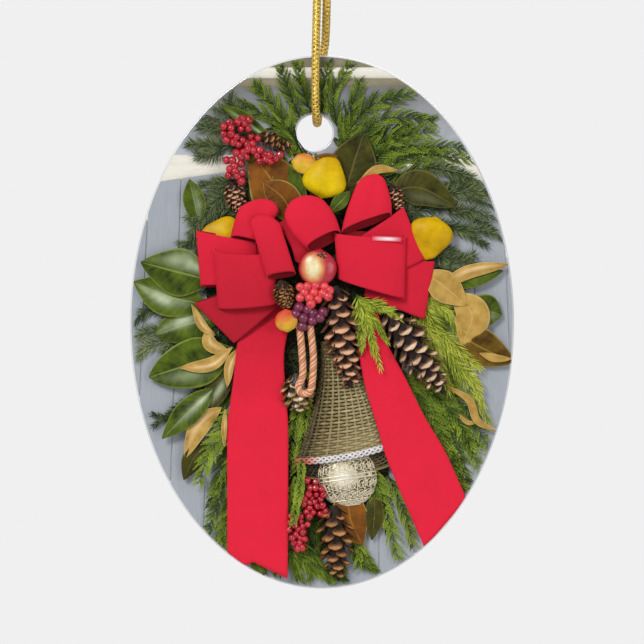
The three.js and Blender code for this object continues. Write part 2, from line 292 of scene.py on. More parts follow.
class Shader:
    """A Principled material and short calls for the nodes that feed it."""

    def __init__(self, name, color, roughness, **sockets):
        self.material = bpy.data.materials.new(name)
        self.material.use_nodes = True
        self.tree = self.material.node_tree
        self.surface = self.tree.nodes["Principled BSDF"]
        self.set(Base_Color=(*color, 1), Roughness=roughness, **sockets)
        self.place = self.node("ShaderNodeTexCoord").outputs["Object"]

    def set(self, **sockets):
        for key, value in sockets.items():
            self.surface.inputs[key.replace("_", " ")].default_value = value

    def node(self, kind, **settings):
        made = self.tree.nodes.new(kind)
        for key, value in settings.items():
            setattr(made, key, value)
        return made

    def link(self, source, target):
        self.tree.links.new(source, target)

    def feed(self, key, source):
        self.link(source, self.surface.inputs[key])

    def give(self, target, value):
        """Links another node's output to a socket, or sets the socket's own value."""
        if hasattr(value, "links"):
            self.link(value, target)
        else:
            target.default_value = (*value, 1) if isinstance(value, tuple) else value

    def attribute(self, name):
        return self.node("ShaderNodeAttribute", attribute_name=name).outputs["Fac"]

    def noise(self, grain, detail=3, stretch=(1, 1, 1)):
        """Noise with features of about grain millimetres."""
        mapping = self.node("ShaderNodeMapping")
        mapping.inputs["Scale"].default_value = stretch
        self.link(self.place, mapping.inputs["Vector"])
        made = self.node("ShaderNodeTexNoise")
        made.inputs["Scale"].default_value = 1 / (grain * MM)
        made.inputs["Detail"].default_value = detail
        self.link(mapping.outputs["Vector"], made.inputs["Vector"])
        return made.outputs["Fac"]

    def ramp(self, source, *stops):
        made = self.node("ShaderNodeValToRGB")
        elements = made.color_ramp.elements
        while len(elements) < len(stops):
            elements.new(0.5)
        for element, (position, color) in zip(elements, stops):
            element.position = position
            element.color = (*color, 1)
        self.link(source, made.inputs["Fac"])
        return made.outputs["Color"]

    def mix(self, amount, a, b, blend="MIX"):
        made = self.node("ShaderNodeMix", data_type="RGBA", blend_type=blend)
        for socket, value in (("Factor", amount), ("A", a), ("B", b)):
            self.give(next(i for i in made.inputs if i.name == socket and i.enabled), value)
        return next(o for o in made.outputs if o.enabled)

    def math(self, operation, a, b=0.0):
        made = self.node("ShaderNodeMath", operation=operation)
        for target, value in zip(made.inputs, (a, b)):
            self.give(target, value)
        return made.outputs[0]

    def bump(self, height, depth):
        """Bump of the given depth in millimetres."""
        made = self.node("ShaderNodeBump")
        made.inputs["Strength"].default_value = 1.0
        made.inputs["Distance"].default_value = depth * MM
        self.link(height, made.inputs["Height"])
        self.feed("Normal", made.outputs["Normal"])


def glaze_material():
    s = Shader("glaze", (0.80, 0.795, 0.78), 0.14, Coat_Weight=0.4, Coat_Roughness=0.06)
    s.feed("Base Color", s.ramp(s.noise(9), (0.3, (0.78, 0.775, 0.765)), (0.7, (0.81, 0.805, 0.80))))
    s.bump(s.noise(1.6, 2), 0.02)
    return s.material


def paint_material(name, color, grain_direction):
    """Old paint over wood: faint streaks along the grain, and painted shade that darkens it where it lies
    low.
    """
    groove_shade = 0.75
    s = Shader(name, color, 0.55)
    streaks = s.noise(0.8, 5, grain_direction)
    base = s.ramp(streaks, (0.25, times(color, 0.9)), (0.75, times(color, 1.06)))
    s.feed("Base Color", s.mix(s.attribute("tone"), base, times(color, groove_shade)))
    s.bump(streaks, 0.03)
    return s.material


def velvet_material(name, dark, light, sheen):
    """Cloth with a fine pile; the tone attribute paints shade on it."""
    s = Shader(name, light, 0.85, Sheen_Weight=sheen, Sheen_Roughness=0.4, Sheen_Tint=(1.0, 0.2, 0.3, 1),
               Specular_IOR_Level=0.3)
    pile = s.noise(0.12, 2)
    cloud = s.ramp(s.noise(4.5, 3), (0.3, times(light, 0.93)), (0.72, light))
    shade = s.ramp(s.attribute("tone"), (0.0, grey(1)), (1.0, (0.5, 0.42, 0.42)))
    s.feed("Base Color", s.mix(1.0, s.mix(s.math("MULTIPLY", pile, 0.3), cloud, dark), shade, "MULTIPLY"))
    s.bump(pile, 0.02)
    return s.material


def leaf_material(name, dark, light, vein, roughness, coat, edge, vein_depth=0.09,
                  painted_highlight=(0.52, 0.60, 0.38)):
    """Midrib and side veins come from the leaf's own lengthwise and crosswise attributes. The last colour
    is mixed in as painted highlights where the leaf's painted sheen lies.
    """
    side_vein_rate = 68.0
    s = Shader(name, light, roughness, Coat_Weight=coat, Coat_Roughness=0.2, Specular_IOR_Level=0.12)
    blotches = s.ramp(s.noise(2.2, 4), (0.28, dark), (0.72, light))
    rib = s.ramp(s.attribute("across"), (0.015, grey(0.8)), (0.06, grey(0)))
    slant = s.math("SUBTRACT", s.attribute("along"), s.math("MULTIPLY", s.attribute("across"), 0.16))
    wave = s.math("SINE", s.math("MULTIPLY", slant, side_vein_rate))
    side = s.ramp(wave, (0.6, grey(0)), (1.0, grey(vein_depth)))
    veins = s.mix(1.0, rib, side, "LIGHTEN")
    veined = s.mix(veins, blotches, vein)
    margin = s.ramp(s.attribute("across"), (0.9, grey(0)), (0.985, grey(0.8)))
    edged = s.mix(margin, veined, edge)
    # Painted highlight: a pale colour mixed in where the painted sheen lies, broken into streaks.
    streaks = s.ramp(s.noise(2.4, 1), (0.3, grey(0.55)), (0.6, grey(1)))
    shine = s.mix(1.0, s.attribute("gloss"), streaks, "MULTIPLY")
    s.feed("Base Color", s.mix(shine, edged, painted_highlight))
    s.bump(s.math("SUBTRACT", s.noise(0.7, 3), wave), 0.2 * vein_depth)
    return s.material


def plant_material(name, shade, body, tip):
    """Leaflets run from a dark root tone, painted shade, to a pale tip tone, with some colour change
    between sprays.
    """
    s = Shader(name, body, 0.5, Specular_IOR_Level=0.12)
    base = s.ramp(s.attribute("tone"), (0.0, shade), (0.5, body), (1.0, tip))
    patches = s.ramp(s.noise(3.5, 2), (0.3, (0.72, 0.76, 0.72)), (0.7, (1.18, 1.12, 1.0)))
    s.feed("Base Color", s.mix(1.0, base, patches, "MULTIPLY"))
    return s.material


def toned_material(name, low, middle, high, roughness=0.4, grain=1.2, bump=0.02, **sockets):
    """The tone attribute picks the colour; noise varies it."""
    s = Shader(name, middle, roughness, **sockets)
    base = s.ramp(s.attribute("tone"), (0.0, low), (0.5, middle), (1.0, high))
    specks = s.ramp(s.noise(grain, 4), (0.3, grey(0.8)), (0.75, grey(1.12)))
    s.feed("Base Color", s.mix(1.0, base, specks, "MULTIPLY"))
    s.bump(s.noise(grain * 0.4, 3), bump)
    return s.material


def gold_cord_material():
    """Metal thread: bright and dark specks as painted highlights and shade on its facets, and painted shade
    where the braid's strands dip.
    """
    s = Shader("gold_cord", (0.70, 0.43, 0.04), 0.32, Metallic=0.45)
    painted_glitter = s.ramp(s.noise(0.16, 2), (0.36, (0.20, 0.09, 0.006)), (0.47, (0.76, 0.46, 0.04)),
                     (0.64, (1.0, 0.82, 0.25)))
    dip_shade = s.ramp(s.attribute("tone"), (0.25, (0.4, 0.25, 0.08)), (0.6, grey(1)))
    s.feed("Base Color", s.mix(1.0, painted_glitter, dip_shade, "MULTIPLY"))
    s.bump(s.noise(0.14, 2), 0.06)
    return s.material


MATERIALS = {
    "glaze": glaze_material(),
    "board": paint_material("board_paint", (0.36, 0.385, 0.42), (6, 6, 0.35)),
    "trim": paint_material("trim_paint", (0.84, 0.80, 0.69), (0.35, 6, 6)),
    "velvet": velvet_material("ribbon_velvet", (0.54, 0.006, 0.024), (0.81, 0.012, 0.042), 0.1),
    # The tube's inside: the same velvet painted darker, as shade.
    "velvet_inside_shade": velvet_material("ribbon_inside_shade", (0.22, 0.002, 0.006), (0.40, 0.005, 0.014), 0.05),
    "velvet_edge": velvet_material("ribbon_edge", (0.66, 0.03, 0.05), (0.80, 0.07, 0.09), 0.2),
    "leaf": leaf_material("leaf_face", (0.02, 0.036, 0.002), (0.105, 0.155, 0.008), (0.24, 0.30, 0.05),
                          0.38, 0.12, (0.24, 0.28, 0.04)),
    "leaf_dark": leaf_material("leaf_dark_face", (0.02, 0.02, 0.003), (0.075, 0.07, 0.007),
                               (0.13, 0.12, 0.03), 0.42, 0.06, (0.2, 0.16, 0.05)),
    "underside": leaf_material("leaf_underside", (0.34, 0.19, 0.035), (0.60, 0.38, 0.10),
                               (0.62, 0.41, 0.12), 0.75, 0.0, (0.66, 0.50, 0.20), 0.05, (0.88, 0.62, 0.34)),
    "brown_leaf": leaf_material("leaf_brown", (0.11, 0.038, 0.004), (0.27, 0.092, 0.01), (0.40, 0.18, 0.03),
                                0.55, 0.05, (0.42, 0.40, 0.08), 0.05),
    "olive_leaf": leaf_material("leaf_olive", (0.06, 0.03, 0.003), (0.20, 0.11, 0.01), (0.32, 0.2, 0.04),
                                0.55, 0.05, (0.4, 0.28, 0.08), 0.05),
    "cedar": plant_material("cedar_green", (0.005, 0.012, 0.002), (0.065, 0.112, 0.008),
                            (0.27, 0.36, 0.035)),
    "fir": plant_material("fir_green", (0.008, 0.014, 0.005), (0.055, 0.078, 0.026), (0.21, 0.25, 0.12)),
    "cypress": plant_material("cypress_green", (0.05, 0.075, 0.006), (0.34, 0.42, 0.03),
                              (0.66, 0.68, 0.13)),
    # Painted shadow: the panel's paint darkens with its tone.
    "panel": toned_material("panel_paint", (0.47, 0.495, 0.535), (0.33, 0.34, 0.36), (0.18, 0.18, 0.18),
                            0.6, 3.0, 0.01),
    # A dark trim paint, also used as painted shadow under the top moulding.
    "dark_trim_and_shadow": toned_material("dark_trim_paint_and_shadow", (0.30, 0.26, 0.17), (0.22, 0.19, 0.12), (0.14, 0.12, 0.08), 0.6,
                            2.0, 0.01),
    "glint": toned_material("ribbon_glint", (0.80, 0.02, 0.05), (0.86, 0.40, 0.46), (0.98, 0.90, 0.91), 0.3,
                            2.0, 0.01),
    "pear": toned_material("pear_skin", (0.38, 0.17, 0.002), (0.70, 0.42, 0.001), (0.88, 0.68, 0.004), 0.45,
                           1.6, 0.03, Coat_Weight=0.05, Coat_Roughness=0.3, Specular_IOR_Level=0.12),
    "apple": toned_material("apple_skin", (0.92, 0.80, 0.44), (0.78, 0.30, 0.10), (0.50, 0.012, 0.03), 0.3,
                            0.9, 0.02, Coat_Weight=0.3, Coat_Roughness=0.2),
    "peach": toned_material("peach_skin", (0.72, 0.45, 0.03), (0.76, 0.32, 0.04), (0.70, 0.08, 0.03), 0.45,
                            1.2, 0.02, Specular_IOR_Level=0.25),
    "red_berry": toned_material("red_berry_skin", (0.56, 0.004, 0.022), (0.34, 0.003, 0.012),
                                (0.08, 0.004, 0.006), 0.22, 0.8, 0.01, Coat_Weight=0.7, Coat_Roughness=0.1),
    "coral_berry": toned_material("coral_berry_skin", (0.86, 0.07, 0.08), (0.70, 0.03, 0.045),
                                  (0.10, 0.008, 0.01), 0.3, 0.8, 0.01, Coat_Weight=0.5,
                                  Coat_Roughness=0.15),
    "purple_berry": toned_material("purple_berry_skin", (0.20, 0.018, 0.06), (0.13, 0.012, 0.04),
                                   (0.03, 0.004, 0.01), 0.3, 0.6, 0.03, Coat_Weight=0.4,
                                   Coat_Roughness=0.2),
    "cone": toned_material("cone_scales", (0.018, 0.008, 0.005), (0.24, 0.09, 0.04), (0.94, 0.52, 0.30),
                           0.6, 0.5, 0.03, Specular_IOR_Level=0.25),
    "cone_light": toned_material("cone_light_scales", (0.018, 0.008, 0.006), (0.20, 0.09, 0.05),
                                 (0.92, 0.66, 0.42), 0.6, 0.5, 0.03, Specular_IOR_Level=0.25),
    "cone_orange": toned_material("cone_orange_scales", (0.02, 0.009, 0.004), (0.20, 0.075, 0.02),
                                  (0.58, 0.27, 0.09), 0.6, 0.5, 0.03, Specular_IOR_Level=0.25),
    "cone_gold": toned_material("cone_gold_scales", (0.02, 0.009, 0.003), (0.26, 0.14, 0.03),
                                (0.76, 0.56, 0.28), 0.3, 0.5, 0.03, Coat_Weight=0.4, Coat_Roughness=0.15),
    "wicker": toned_material("wicker_cane", (0.008, 0.005, 0.003), (0.24, 0.18, 0.07), (0.58, 0.49, 0.26),
                             0.45, 0.5, 0.02, Coat_Weight=0.1, Coat_Roughness=0.3, Specular_IOR_Level=0.25),
    "rim": toned_material("rim_cane", (0.78, 0.74, 0.74), (0.72, 0.42, 0.36), (0.55, 0.14, 0.10), 0.4, 0.6,
                          0.02),
    "filigree": toned_material("filigree_metal", (0.10, 0.07, 0.03), (0.80, 0.70, 0.48), (1.0, 0.95, 0.80),
                               0.32, 0.5, 0.02, Metallic=0.4),
    "rope": toned_material("rope_strands", (0.74, 0.11, 0.09), (0.88, 0.66, 0.38), (0.38, 0.30, 0.05), 0.6,
                           0.3, 0.02),
    "gold_cord": gold_cord_material(),
}


# ---------------------------------------------------------------- disc and door

def add_disc():
    """A glazed plate with rounded edges, as closed rings from the hole's wall out and back."""
    turn = np.linspace(0, 2 * math.pi, 360, endpoint=False)
    outer = np.stack([HALF_WIDTH * np.cos(turn), HALF_HEIGHT * np.sin(turn)], 1)
    outward = np.stack([np.cos(turn) / HALF_WIDTH, np.sin(turn) / HALF_HEIGHT], 1)
    outward /= np.linalg.norm(outward, axis=1)[:, None]
    spoke = np.stack([np.cos(turn), np.sin(turn)], 1)
    hole = HOLE + HOLE_RADIUS * spoke
    quarter = np.linspace(0, math.pi / 2, 6)
    bends = [(EDGE_ROUND * (1 - math.cos(b)), EDGE_ROUND * (1 - math.sin(b))) for b in quarter]
    rings = [(hole + spoke * a, -b) for a, b in bends]
    start, end = hole + spoke * EDGE_ROUND, outer - outward * EDGE_ROUND
    rings += [(start + (end - start) * share, 0.0) for share in np.linspace(0, 1, 26)[1:-1]]
    rings += [(outer - outward * b, -a) for a, b in bends]
    rings += [(ring, -THICKNESS - d) for ring, d in reversed(rings)]
    points = np.concatenate([np.column_stack([ring, np.full(len(turn), d)]) for ring, d in rings])
    faces = grid_faces(len(rings), len(turn), wrap_rows=True, wrap_columns=True)
    add_piece("glazed_disc", points, faces, "glaze", ["ceramic_disc"])


def oval_side(z):
    """Distance of the picture's edge from the middle line at height z."""
    return PICTURE_WIDTH * math.sqrt(max(0.0, 1 - (z / PICTURE_HEIGHT) ** 2))


def flat_plate(outline, holes=(), spacing=1.0):
    """Points and triangles that fill an outline, less its holes, with inner points spacing apart."""
    loops = [np.asarray(outline, float), *[np.asarray(h, float) for h in holes]]
    points, edges = [], []
    for loop in loops:
        first = len(points)
        points += [Vector(p) for p in loop]
        edges += [(first + i, first + (i + 1) % len(loop)) for i in range(len(loop))]
    low, high = loops[0].min(0), loops[0].max(0)
    for x in np.arange(low[0] + spacing / 2, high[0], spacing):
        for z in np.arange(low[1] + spacing / 2, high[1], spacing):
            points.append(Vector((x, z)))
    made, _, triangles, *_ = delaunay_2d_cdt(points, edges, [], 2, 1e-5)
    flat = np.array([tuple(p) for p in made])
    kept = []
    for triangle in triangles:
        middle = flat[list(triangle)].mean(0)
        if within(middle, loops[0]) and not any(within(middle, hole) for hole in loops[1:]):
            kept.append(triangle)
    return flat, kept


def within(point, loop):
    """True where a closed loop holds the point: it has an odd number of crossings to its right."""
    x, z = point
    x0, z0 = loop[:, 0], loop[:, 1]
    x1, z1 = np.roll(x0, -1), np.roll(z0, -1)
    crosses = (z0 > z) != (z1 > z)
    with np.errstate(divide="ignore", invalid="ignore"):
        where = x0 + (z - z0) * (x1 - x0) / (z1 - z0)
    return bool(np.count_nonzero(crosses & (x < where)) % 2)


def add_door():
    """Upright boards with rounded edges below the cross moulding, and a shaded panel above it."""
    cross, top = Place("door_trim_cross"), Place("door_trim_top")
    pitch, first, gap, thick, rounding = 6.17, -33.2, 0.16, 0.3, 0.14
    edge_share = 0.35  # a board's thickness at its edges, over its full one
    widen = 0.0013  # the boards spread towards the bottom
    straight = -8  # the height at which they have their own pitch
    least = 0.05  # no board is narrower
    panel_depth, relief = 0.15, 0.5  # of the panel and of the mouldings
    ledge, shaded = cross.top - 2.4, top.bottom - 1.7  # the panel is darkest at the second
    start = math.asin(ledge / PICTURE_HEIGHT)
    heights = PICTURE_HEIGHT * np.sin(np.linspace(0.01 - math.pi / 2, start, 150))
    boards, columns = Parts(), 13
    for k in range(-1, 12):
        left, right = first + pitch * k + gap / 2, first + pitch * (k + 1) - gap / 2
        points = []
        for z in heights:
            spread = 1 - widen * (z - straight)
            low, high = max(left * spread, -oval_side(z)), min(right * spread, oval_side(z))
            if high - low < least:
                continue
            ease = min(rounding, (high - low) / 3)
            flat = np.linspace(low + ease, high - ease, columns - 6)[1:-1]
            for x in (*(low + np.linspace(0, ease, 4)), *flat, *(high - np.linspace(ease, 0, 4))):
                edge = min(x / spread - left, right - x / spread, rounding) / rounding
                rise = math.sqrt(max(0.0, 1 - (1 - edge) ** 2))
                points.append((x, z, thick * (edge_share + (1 - edge_share) * rise)))
        if points:
            # Darker where a board curves down at its edges: painted shade in the grooves between boards.
            tone = [0.8 * (1 - d / thick) for _, _, d in points]
            boards.add(points, turned_over(grid_faces(len(points) // columns, columns)), tone)
    boards.piece("door_boards_painted", "board", ["door_boards"])

    arc = np.linspace(start, math.pi - start, 90)
    outline = np.stack([PICTURE_WIDTH * np.cos(arc), PICTURE_HEIGHT * np.sin(arc)], 1)
    ring = np.linspace(0, 2 * math.pi, 48, endpoint=False)
    hole = np.stack([np.cos(ring), np.sin(ring)], 1) * (HOLE_RADIUS + RIM) + HOLE
    flat, triangles = flat_plate(outline, [hole])
    # Painted shadow: the panel darkens upwards, most under the top moulding.
    shade = np.clip((flat[:, 1] - cross.top) / (shaded - cross.top), 0, 1)
    points = np.column_stack([flat, np.full(len(flat), panel_depth)])
    add_piece("door_panel_upper", points, triangles, "panel", tone=shade)

    def moulding(name, low, high, profile, kind, nodes=(), bow=0.0):
        """A moulding across the door; bow curves its lower edge down towards its ends."""
        rows, steps = [], 160
        for share in np.linspace(-1, 1, steps):
            foot = low - bow * (share * HALF_WIDTH) ** 2
            for i, d in enumerate(profile):
                z = foot + (high - foot) * i / (len(profile) - 1)
                rows.append((share * oval_side(z), z, d))
        # Darker where the moulding lies low: painted shade.
        tone = [0.5 * (1 - d / relief) for _, _, d in rows]
        add_piece(name, rows, grid_faces(steps, len(profile)), kind, nodes, tone=tone)

    moulding("door_moulding_cross", ledge - 1.2, cross.top - 1.1, (0.15, 0.5, 0.42, 0.5, 0.3, 0.48, 0.15),
             "trim", ["door_trim_cross"], bow=0.0022)
    moulding("door_moulding_top", top.bottom - 0.2, top.top - 0.2, (0.15, 0.46, 0.38, 0.5, 0.15), "trim",
             ["door_trim_top"])
    # A dark band under the top moulding is painted shadow; the one over it is a dark grey band.
    moulding("door_moulding_shadow", top.bottom - 1.8, top.bottom - 0.2, (0.16, 0.3, 0.24, 0.16), "dark_trim_and_shadow")
    moulding("door_moulding_grey", top.top - 0.2, top.top + 1.3, (0.16, 0.24, 0.2), "dark_trim_and_shadow")


# ---------------------------------------------------------------- bow

RIBBON_THICKNESS = 0.2

# The loops from the back to the front: node, ends a and b, tilt, half depth, depth and other looks
BOW_LOOPS = (
    # Behind: far left, the two right ones and the lower left
    ("far_left", (0.0, 1.0, 1.1, 0.8), (0.08, 0.02, 1.1, 0.0), (0.15, -0.25), (0.7, 0.7), (2.7, 2.7),
     dict(shade=(0.1, 0.35))),
    ("right_lower", (-0.5, 1.1, 1.0, 1.0), (-0.6, 0.4, 0.77, 0.0), (0.1, 0.1), (0.8, 0.8), (2.2, 2.2),
     dict(shade=(0.3, 0.3))),
    ("right_upper", (-0.3, 0.4, 0.64, 1.0), (0.0, -0.3, 1.0, 0.14), (0.1, 0.1), (0.8, 0.8), (2.7, 2.7),
     dict(shade=(0.15, 0.4))),
    ("lower_left", (0.0, 0.83, 0.8, 1.3), (0.5, 0.0, 1.15, 0.9), (0.15, 0.1), (0.7, 0.7), (2.6, 2.6),
     dict(shade=(0.75, 0.85))),
    # Middle: upper left and top right, both open towards their lower end
    ("upper_left", (0.16, 0.8, 0.9, 0.74), (0.0, 0.3, 0.5, 0.2), (-0.6, -0.5), (1.1, 0.9), (3.3, 3.6),
     dict(swell=0.04, dome=1.7, shade=(0.05, 0.35))),
    ("top_right", (0.26, 0.8, 0.88, 0.86), (-0.04, 0.0, 1.0, 0.31), (-0.6, -0.75), (0.9, 1.2), (3.2, 3.6),
     dict(swell=0.08, dome=1.3, shade=(0.0, 0.2))),
    # Front
    ("left_front", (0.0, 0.99, 0.95, 0.97), (0.07, 0.07, 1.05, 0.15), (0.85, 0.6), (1.2, 1.3), (3.6, 3.5),
     dict(shade=(0.35, 0.62))),
    ("right_front", (-0.1, 1.04, 1.0, 0.97), (-0.04, 0.33, 0.98, 0.03), (0.5, 0.4), (1.3, 1.3), (3.7, 3.7),
     dict(shade=(0.1, 0.3))),
    ("centre_left", (0.0, 0.86, 0.66, 0.84), (0.36, 0.05, 1.0, 0.12), (-0.55, -0.55), (1.0, 1.0),
     (4.7, 4.9), dict(dome=1.2, shade=(0.1, 0.45))),
    ("top", (0.0, 0.5, 0.72, 0.86), (0.4, -0.02, 1.0, 0.3), (-1.1, -1.0), (1.3, 1.3), (4.1, 4.3),
     dict(swell=0.12, dome=1.9, shade=(0.05, 0.2))),
)


def ribbon_tube(node, a, b, tilt, half_depth, middle, swell=0.0, dome=0.0, shade=(0.0, 0.0), seed=0):
    """A loop of ribbon: a flattened tube from end a to end b, each the left and right place of the end's
    edges, in fractions of the node's box.

    tilt is how far each end's front edge is moved towards b, so that an end shows its opening.
    half_depth and middle are each end's half thickness and depth. swell widens the tube between its
    ends, dome rounds end a by that many millimetres, and shade is painted shade, from its value at a to
    that at b."""
    (a_left, a_right), (b_left, b_right) = along(node, *a), along(node, *b)
    axis = (b_left + b_right - a_left - a_right) / 2
    axis = axis / np.linalg.norm(axis)
    rng = np.random.default_rng(seed)
    crease_at, crease_turn = rng.uniform(0, 6, 3), rng.uniform(2, 5, 3)
    rows, columns = 26, 72
    turns = circle(columns)
    side_bend, face_bend = 0.75, 0.9  # under 1, they make the tube's section squarer than an ellipse
    dome_share = 0.35  # how far along the tube the dome reaches
    points = np.empty((rows, columns, 3))
    for i, t in enumerate(np.linspace(0, 1, rows)):
        left, right = a_left + (b_left - a_left) * t, a_right + (b_right - a_right) * t
        centre, reach = (left + right) / 2, (right - left) / 2
        reach = reach * (1 + swell * math.sin(math.pi * t))
        depth, lean, level = [np.interp(t, (0, 1), ends) for ends in (half_depth, tilt, middle)]
        across = np.sign(np.cos(turns)) * np.abs(np.cos(turns)) ** side_bend
        out = np.sign(np.sin(turns)) * np.abs(np.sin(turns)) ** face_bend
        crease = sum(np.sin(across * k * 1.6 + c + 2.2 * t) for c, k in zip(crease_at, crease_turn))
        near = max(0.0, 1 - t / dome_share)
        arch = dome * near**1.3 * (1 - np.abs(across) ** 2.2)
        depth *= 1 - 0.5 * near**2 * (dome > 0)
        points[i, :, :2] = centre + across[:, None] * reach + (lean * out - arch)[:, None] * axis
        points[i, :, 2] = level + depth * out + 0.035 * crease * np.maximum(out, 0)
    faces = grid_faces(rows, columns, wrap_columns=True)
    tone = np.linspace(*shade, rows).repeat(columns)
    piece = add_piece(node + "_ribbon", points.reshape(-1, 3), faces, "velvet", [node], tone=tone)
    # Its inside takes the darker velvet: painted shade.
    solidified(piece, RIBBON_THICKNESS, "velvet_inside_shade")


def ribbon_strip(name, node, left_edge, right_edge, level, ripple, shade, cut=None, seed=0):
    """A strip of ribbon between two edge lines, in fractions of the node's box.

    level gives its depth and shade its painted shade, from the share t along it. cut lifts its end."""
    rows, columns = 90, 22
    left = spline(along(node, *left_edge), rows)
    right = spline(along(node, *right_edge), rows)
    rng = np.random.default_rng(seed)
    phase = rng.uniform(0, 6, 4)
    points = np.empty((rows, columns, 3))
    for i in range(rows):
        t = i / (rows - 1)
        for j in range(columns):
            u = j / (columns - 1)
            x, z = left[i] + (right[i] - left[i]) * u
            if cut:
                x, z = np.array([x, z]) + np.array(cut(u)) * t**6
            wave = math.sin(5.5 * t + phase[0] + 1.5 * u) + 0.5 * math.sin(12 * t + phase[1] - 2.5 * u)
            cup = 0.35 * math.cos(math.pi * (u - 0.5)) * (1 - 0.6 * t)
            points[i, j] = (x, z, level(t) + ripple * wave + cup)
    points = held_in(points.reshape(-1, 3))
    tone = [shade(i / (rows - 1)) for i in range(rows) for _ in range(columns)]
    piece = add_piece(name, points, grid_faces(rows, columns), "velvet", [node], tone=tone)
    solidified(piece, RIBBON_THICKNESS, "velvet")


def add_bow():
    """The loops, then the fold, the glint and the two tails."""
    for seed, (name, *shape, looks) in enumerate(BOW_LOOPS, 1):
        ribbon_tube("bow_loop_" + name, *shape, seed=seed, **looks)
    ribbon_strip("bow_fold_centre", "bow_loop_centre_left", (0.62, 0.86, 0.9, 0.5, 0.98, 0.3),
                 (0.85, 0.95, 1.36, 0.6, 1.16, 0.24), lambda t: 3.2, 0.1, lambda t: 0.6, seed=13)

    # A painted highlight: a pale strip along the top edge of the front right loop.
    rows, columns = 24, 6
    glint = Place("bow_loop_right_front")
    sheen = [(*glint.at(u, 0.985 - 0.04 * (u - 0.4) - 0.075 * v), 5.14)
             for u in np.linspace(0.48, 0.93, rows) for v in np.linspace(0, 1, columns)]
    tone = [math.sin(math.pi * i / (rows - 1)) * math.sin(math.pi * j / (columns - 1))
            for i in range(rows) for j in range(columns)]
    add_piece("bow_edge_glint", sheen, turned_over(grid_faces(rows, columns)), "glint", tone=tone)

    def left_notch(u):
        apex, depth = 0.42, 3.1
        return (0, depth * (1 - abs(u - apex) / (apex if u < apex else 1 - apex)))

    # Each tail is darker towards its top: painted shadow under the bow.
    ribbon_strip("bow_tail_left_ribbon", "bow_tail_left",
                 (0.3, 1.12, 0.17, 0.95, 0.1, 0.79, 0.02, 0.64, 0.0, 0.53, 0.0, 0.3, 0.0, -0.02),
                 (1.05, 1.1, 1.0, 1.0, 0.93, 0.88, 0.97, 0.72, 1.0, 0.58, 1.0, 0.3, 0.99, -0.02),
                 lambda t: 1.35 + 1.6 * min(1.0, 5 * t) ** 2 - 0.6 * t, 0.12,
                 lambda t: 0.6 * max(0.0, 1 - 2 * t), left_notch, seed=11)
    ribbon_strip("bow_tail_right_ribbon", "bow_tail_right",
                 (0.0, 1.12, 0.0, 1.0, 0.06, 0.8, 0.2, 0.55, 0.31, 0.37, 0.63, -0.02),
                 (0.2, 1.12, 0.26, 1.0, 0.43, 0.83, 0.62, 0.63, 0.82, 0.45, 1.02, 0.22),
                 lambda t: 4.0 - 1.2 * t, 0.12, lambda t: 0.6 * max(0.0, 1 - 3 * t), seed=12)


# ---------------------------------------------------------------- leaves

LEAF_THICKNESS = 0.14


def leaf(name, midrib, width, level, kind, nodes=(), arch=0.35, cup=0.0, fold=0.0, ripple=0.1, shine=None,
         blunt=1.0, seed=0):
    """A leaf with its veins along a midrib line. arch lifts its middle, cup its edges and fold one half.

    Its painted shine is a painted highlight: where it lies along the leaf, across it and how strong."""
    rows, columns = 44, 21
    line = spline(midrib, rows)
    ahead = np.gradient(line, axis=0)
    ahead /= np.linalg.norm(ahead, axis=1)[:, None]
    beside = np.stack([-ahead[:, 1], ahead[:, 0]], 1)
    t, v = np.meshgrid(np.linspace(0, 1, rows), np.linspace(-1, 1, columns), indexing="ij")
    swell = np.sin(math.pi * np.clip(t, 0.004, 0.996) ** blunt) ** 0.8
    half = width / 2 * swell * (1 + 0.04 * np.sin(9 * t + seed))
    flat = line[:, None] + beside[:, None] * (half * v)[..., None]
    groove = -0.1 * np.exp(-(v / 0.1) ** 2)
    depth = (arch * np.sin(math.pi * t) + (cup * v**2 + fold * v) * swell + groove
             + ripple * np.sin(7 * t + 2 * seed + v) * np.abs(v))
    lowest = 0.55
    points = np.dstack([flat, np.maximum(level + depth, lowest)]).reshape(-1, 3)
    # A painted highlight, strongest at the place the painted shine gives.
    gloss = np.zeros_like(t)
    if shine:
        painted_shine_along, painted_shine_across, strength = shine
        gloss = strength * np.exp(-((t - painted_shine_along) / 0.3) ** 2 - ((v - painted_shine_across) / 0.28) ** 2)
    piece = add_piece(name, held_in(points), grid_faces(rows, columns), kind, nodes,
                      across=np.abs(v).ravel(), along=t.ravel(), gloss=gloss.ravel())
    solidified(piece, LEAF_THICKNESS)


CURLED = dict(cup=0.15, shine=(0.5, 0.2, 0.7))  # the four small curled leaves

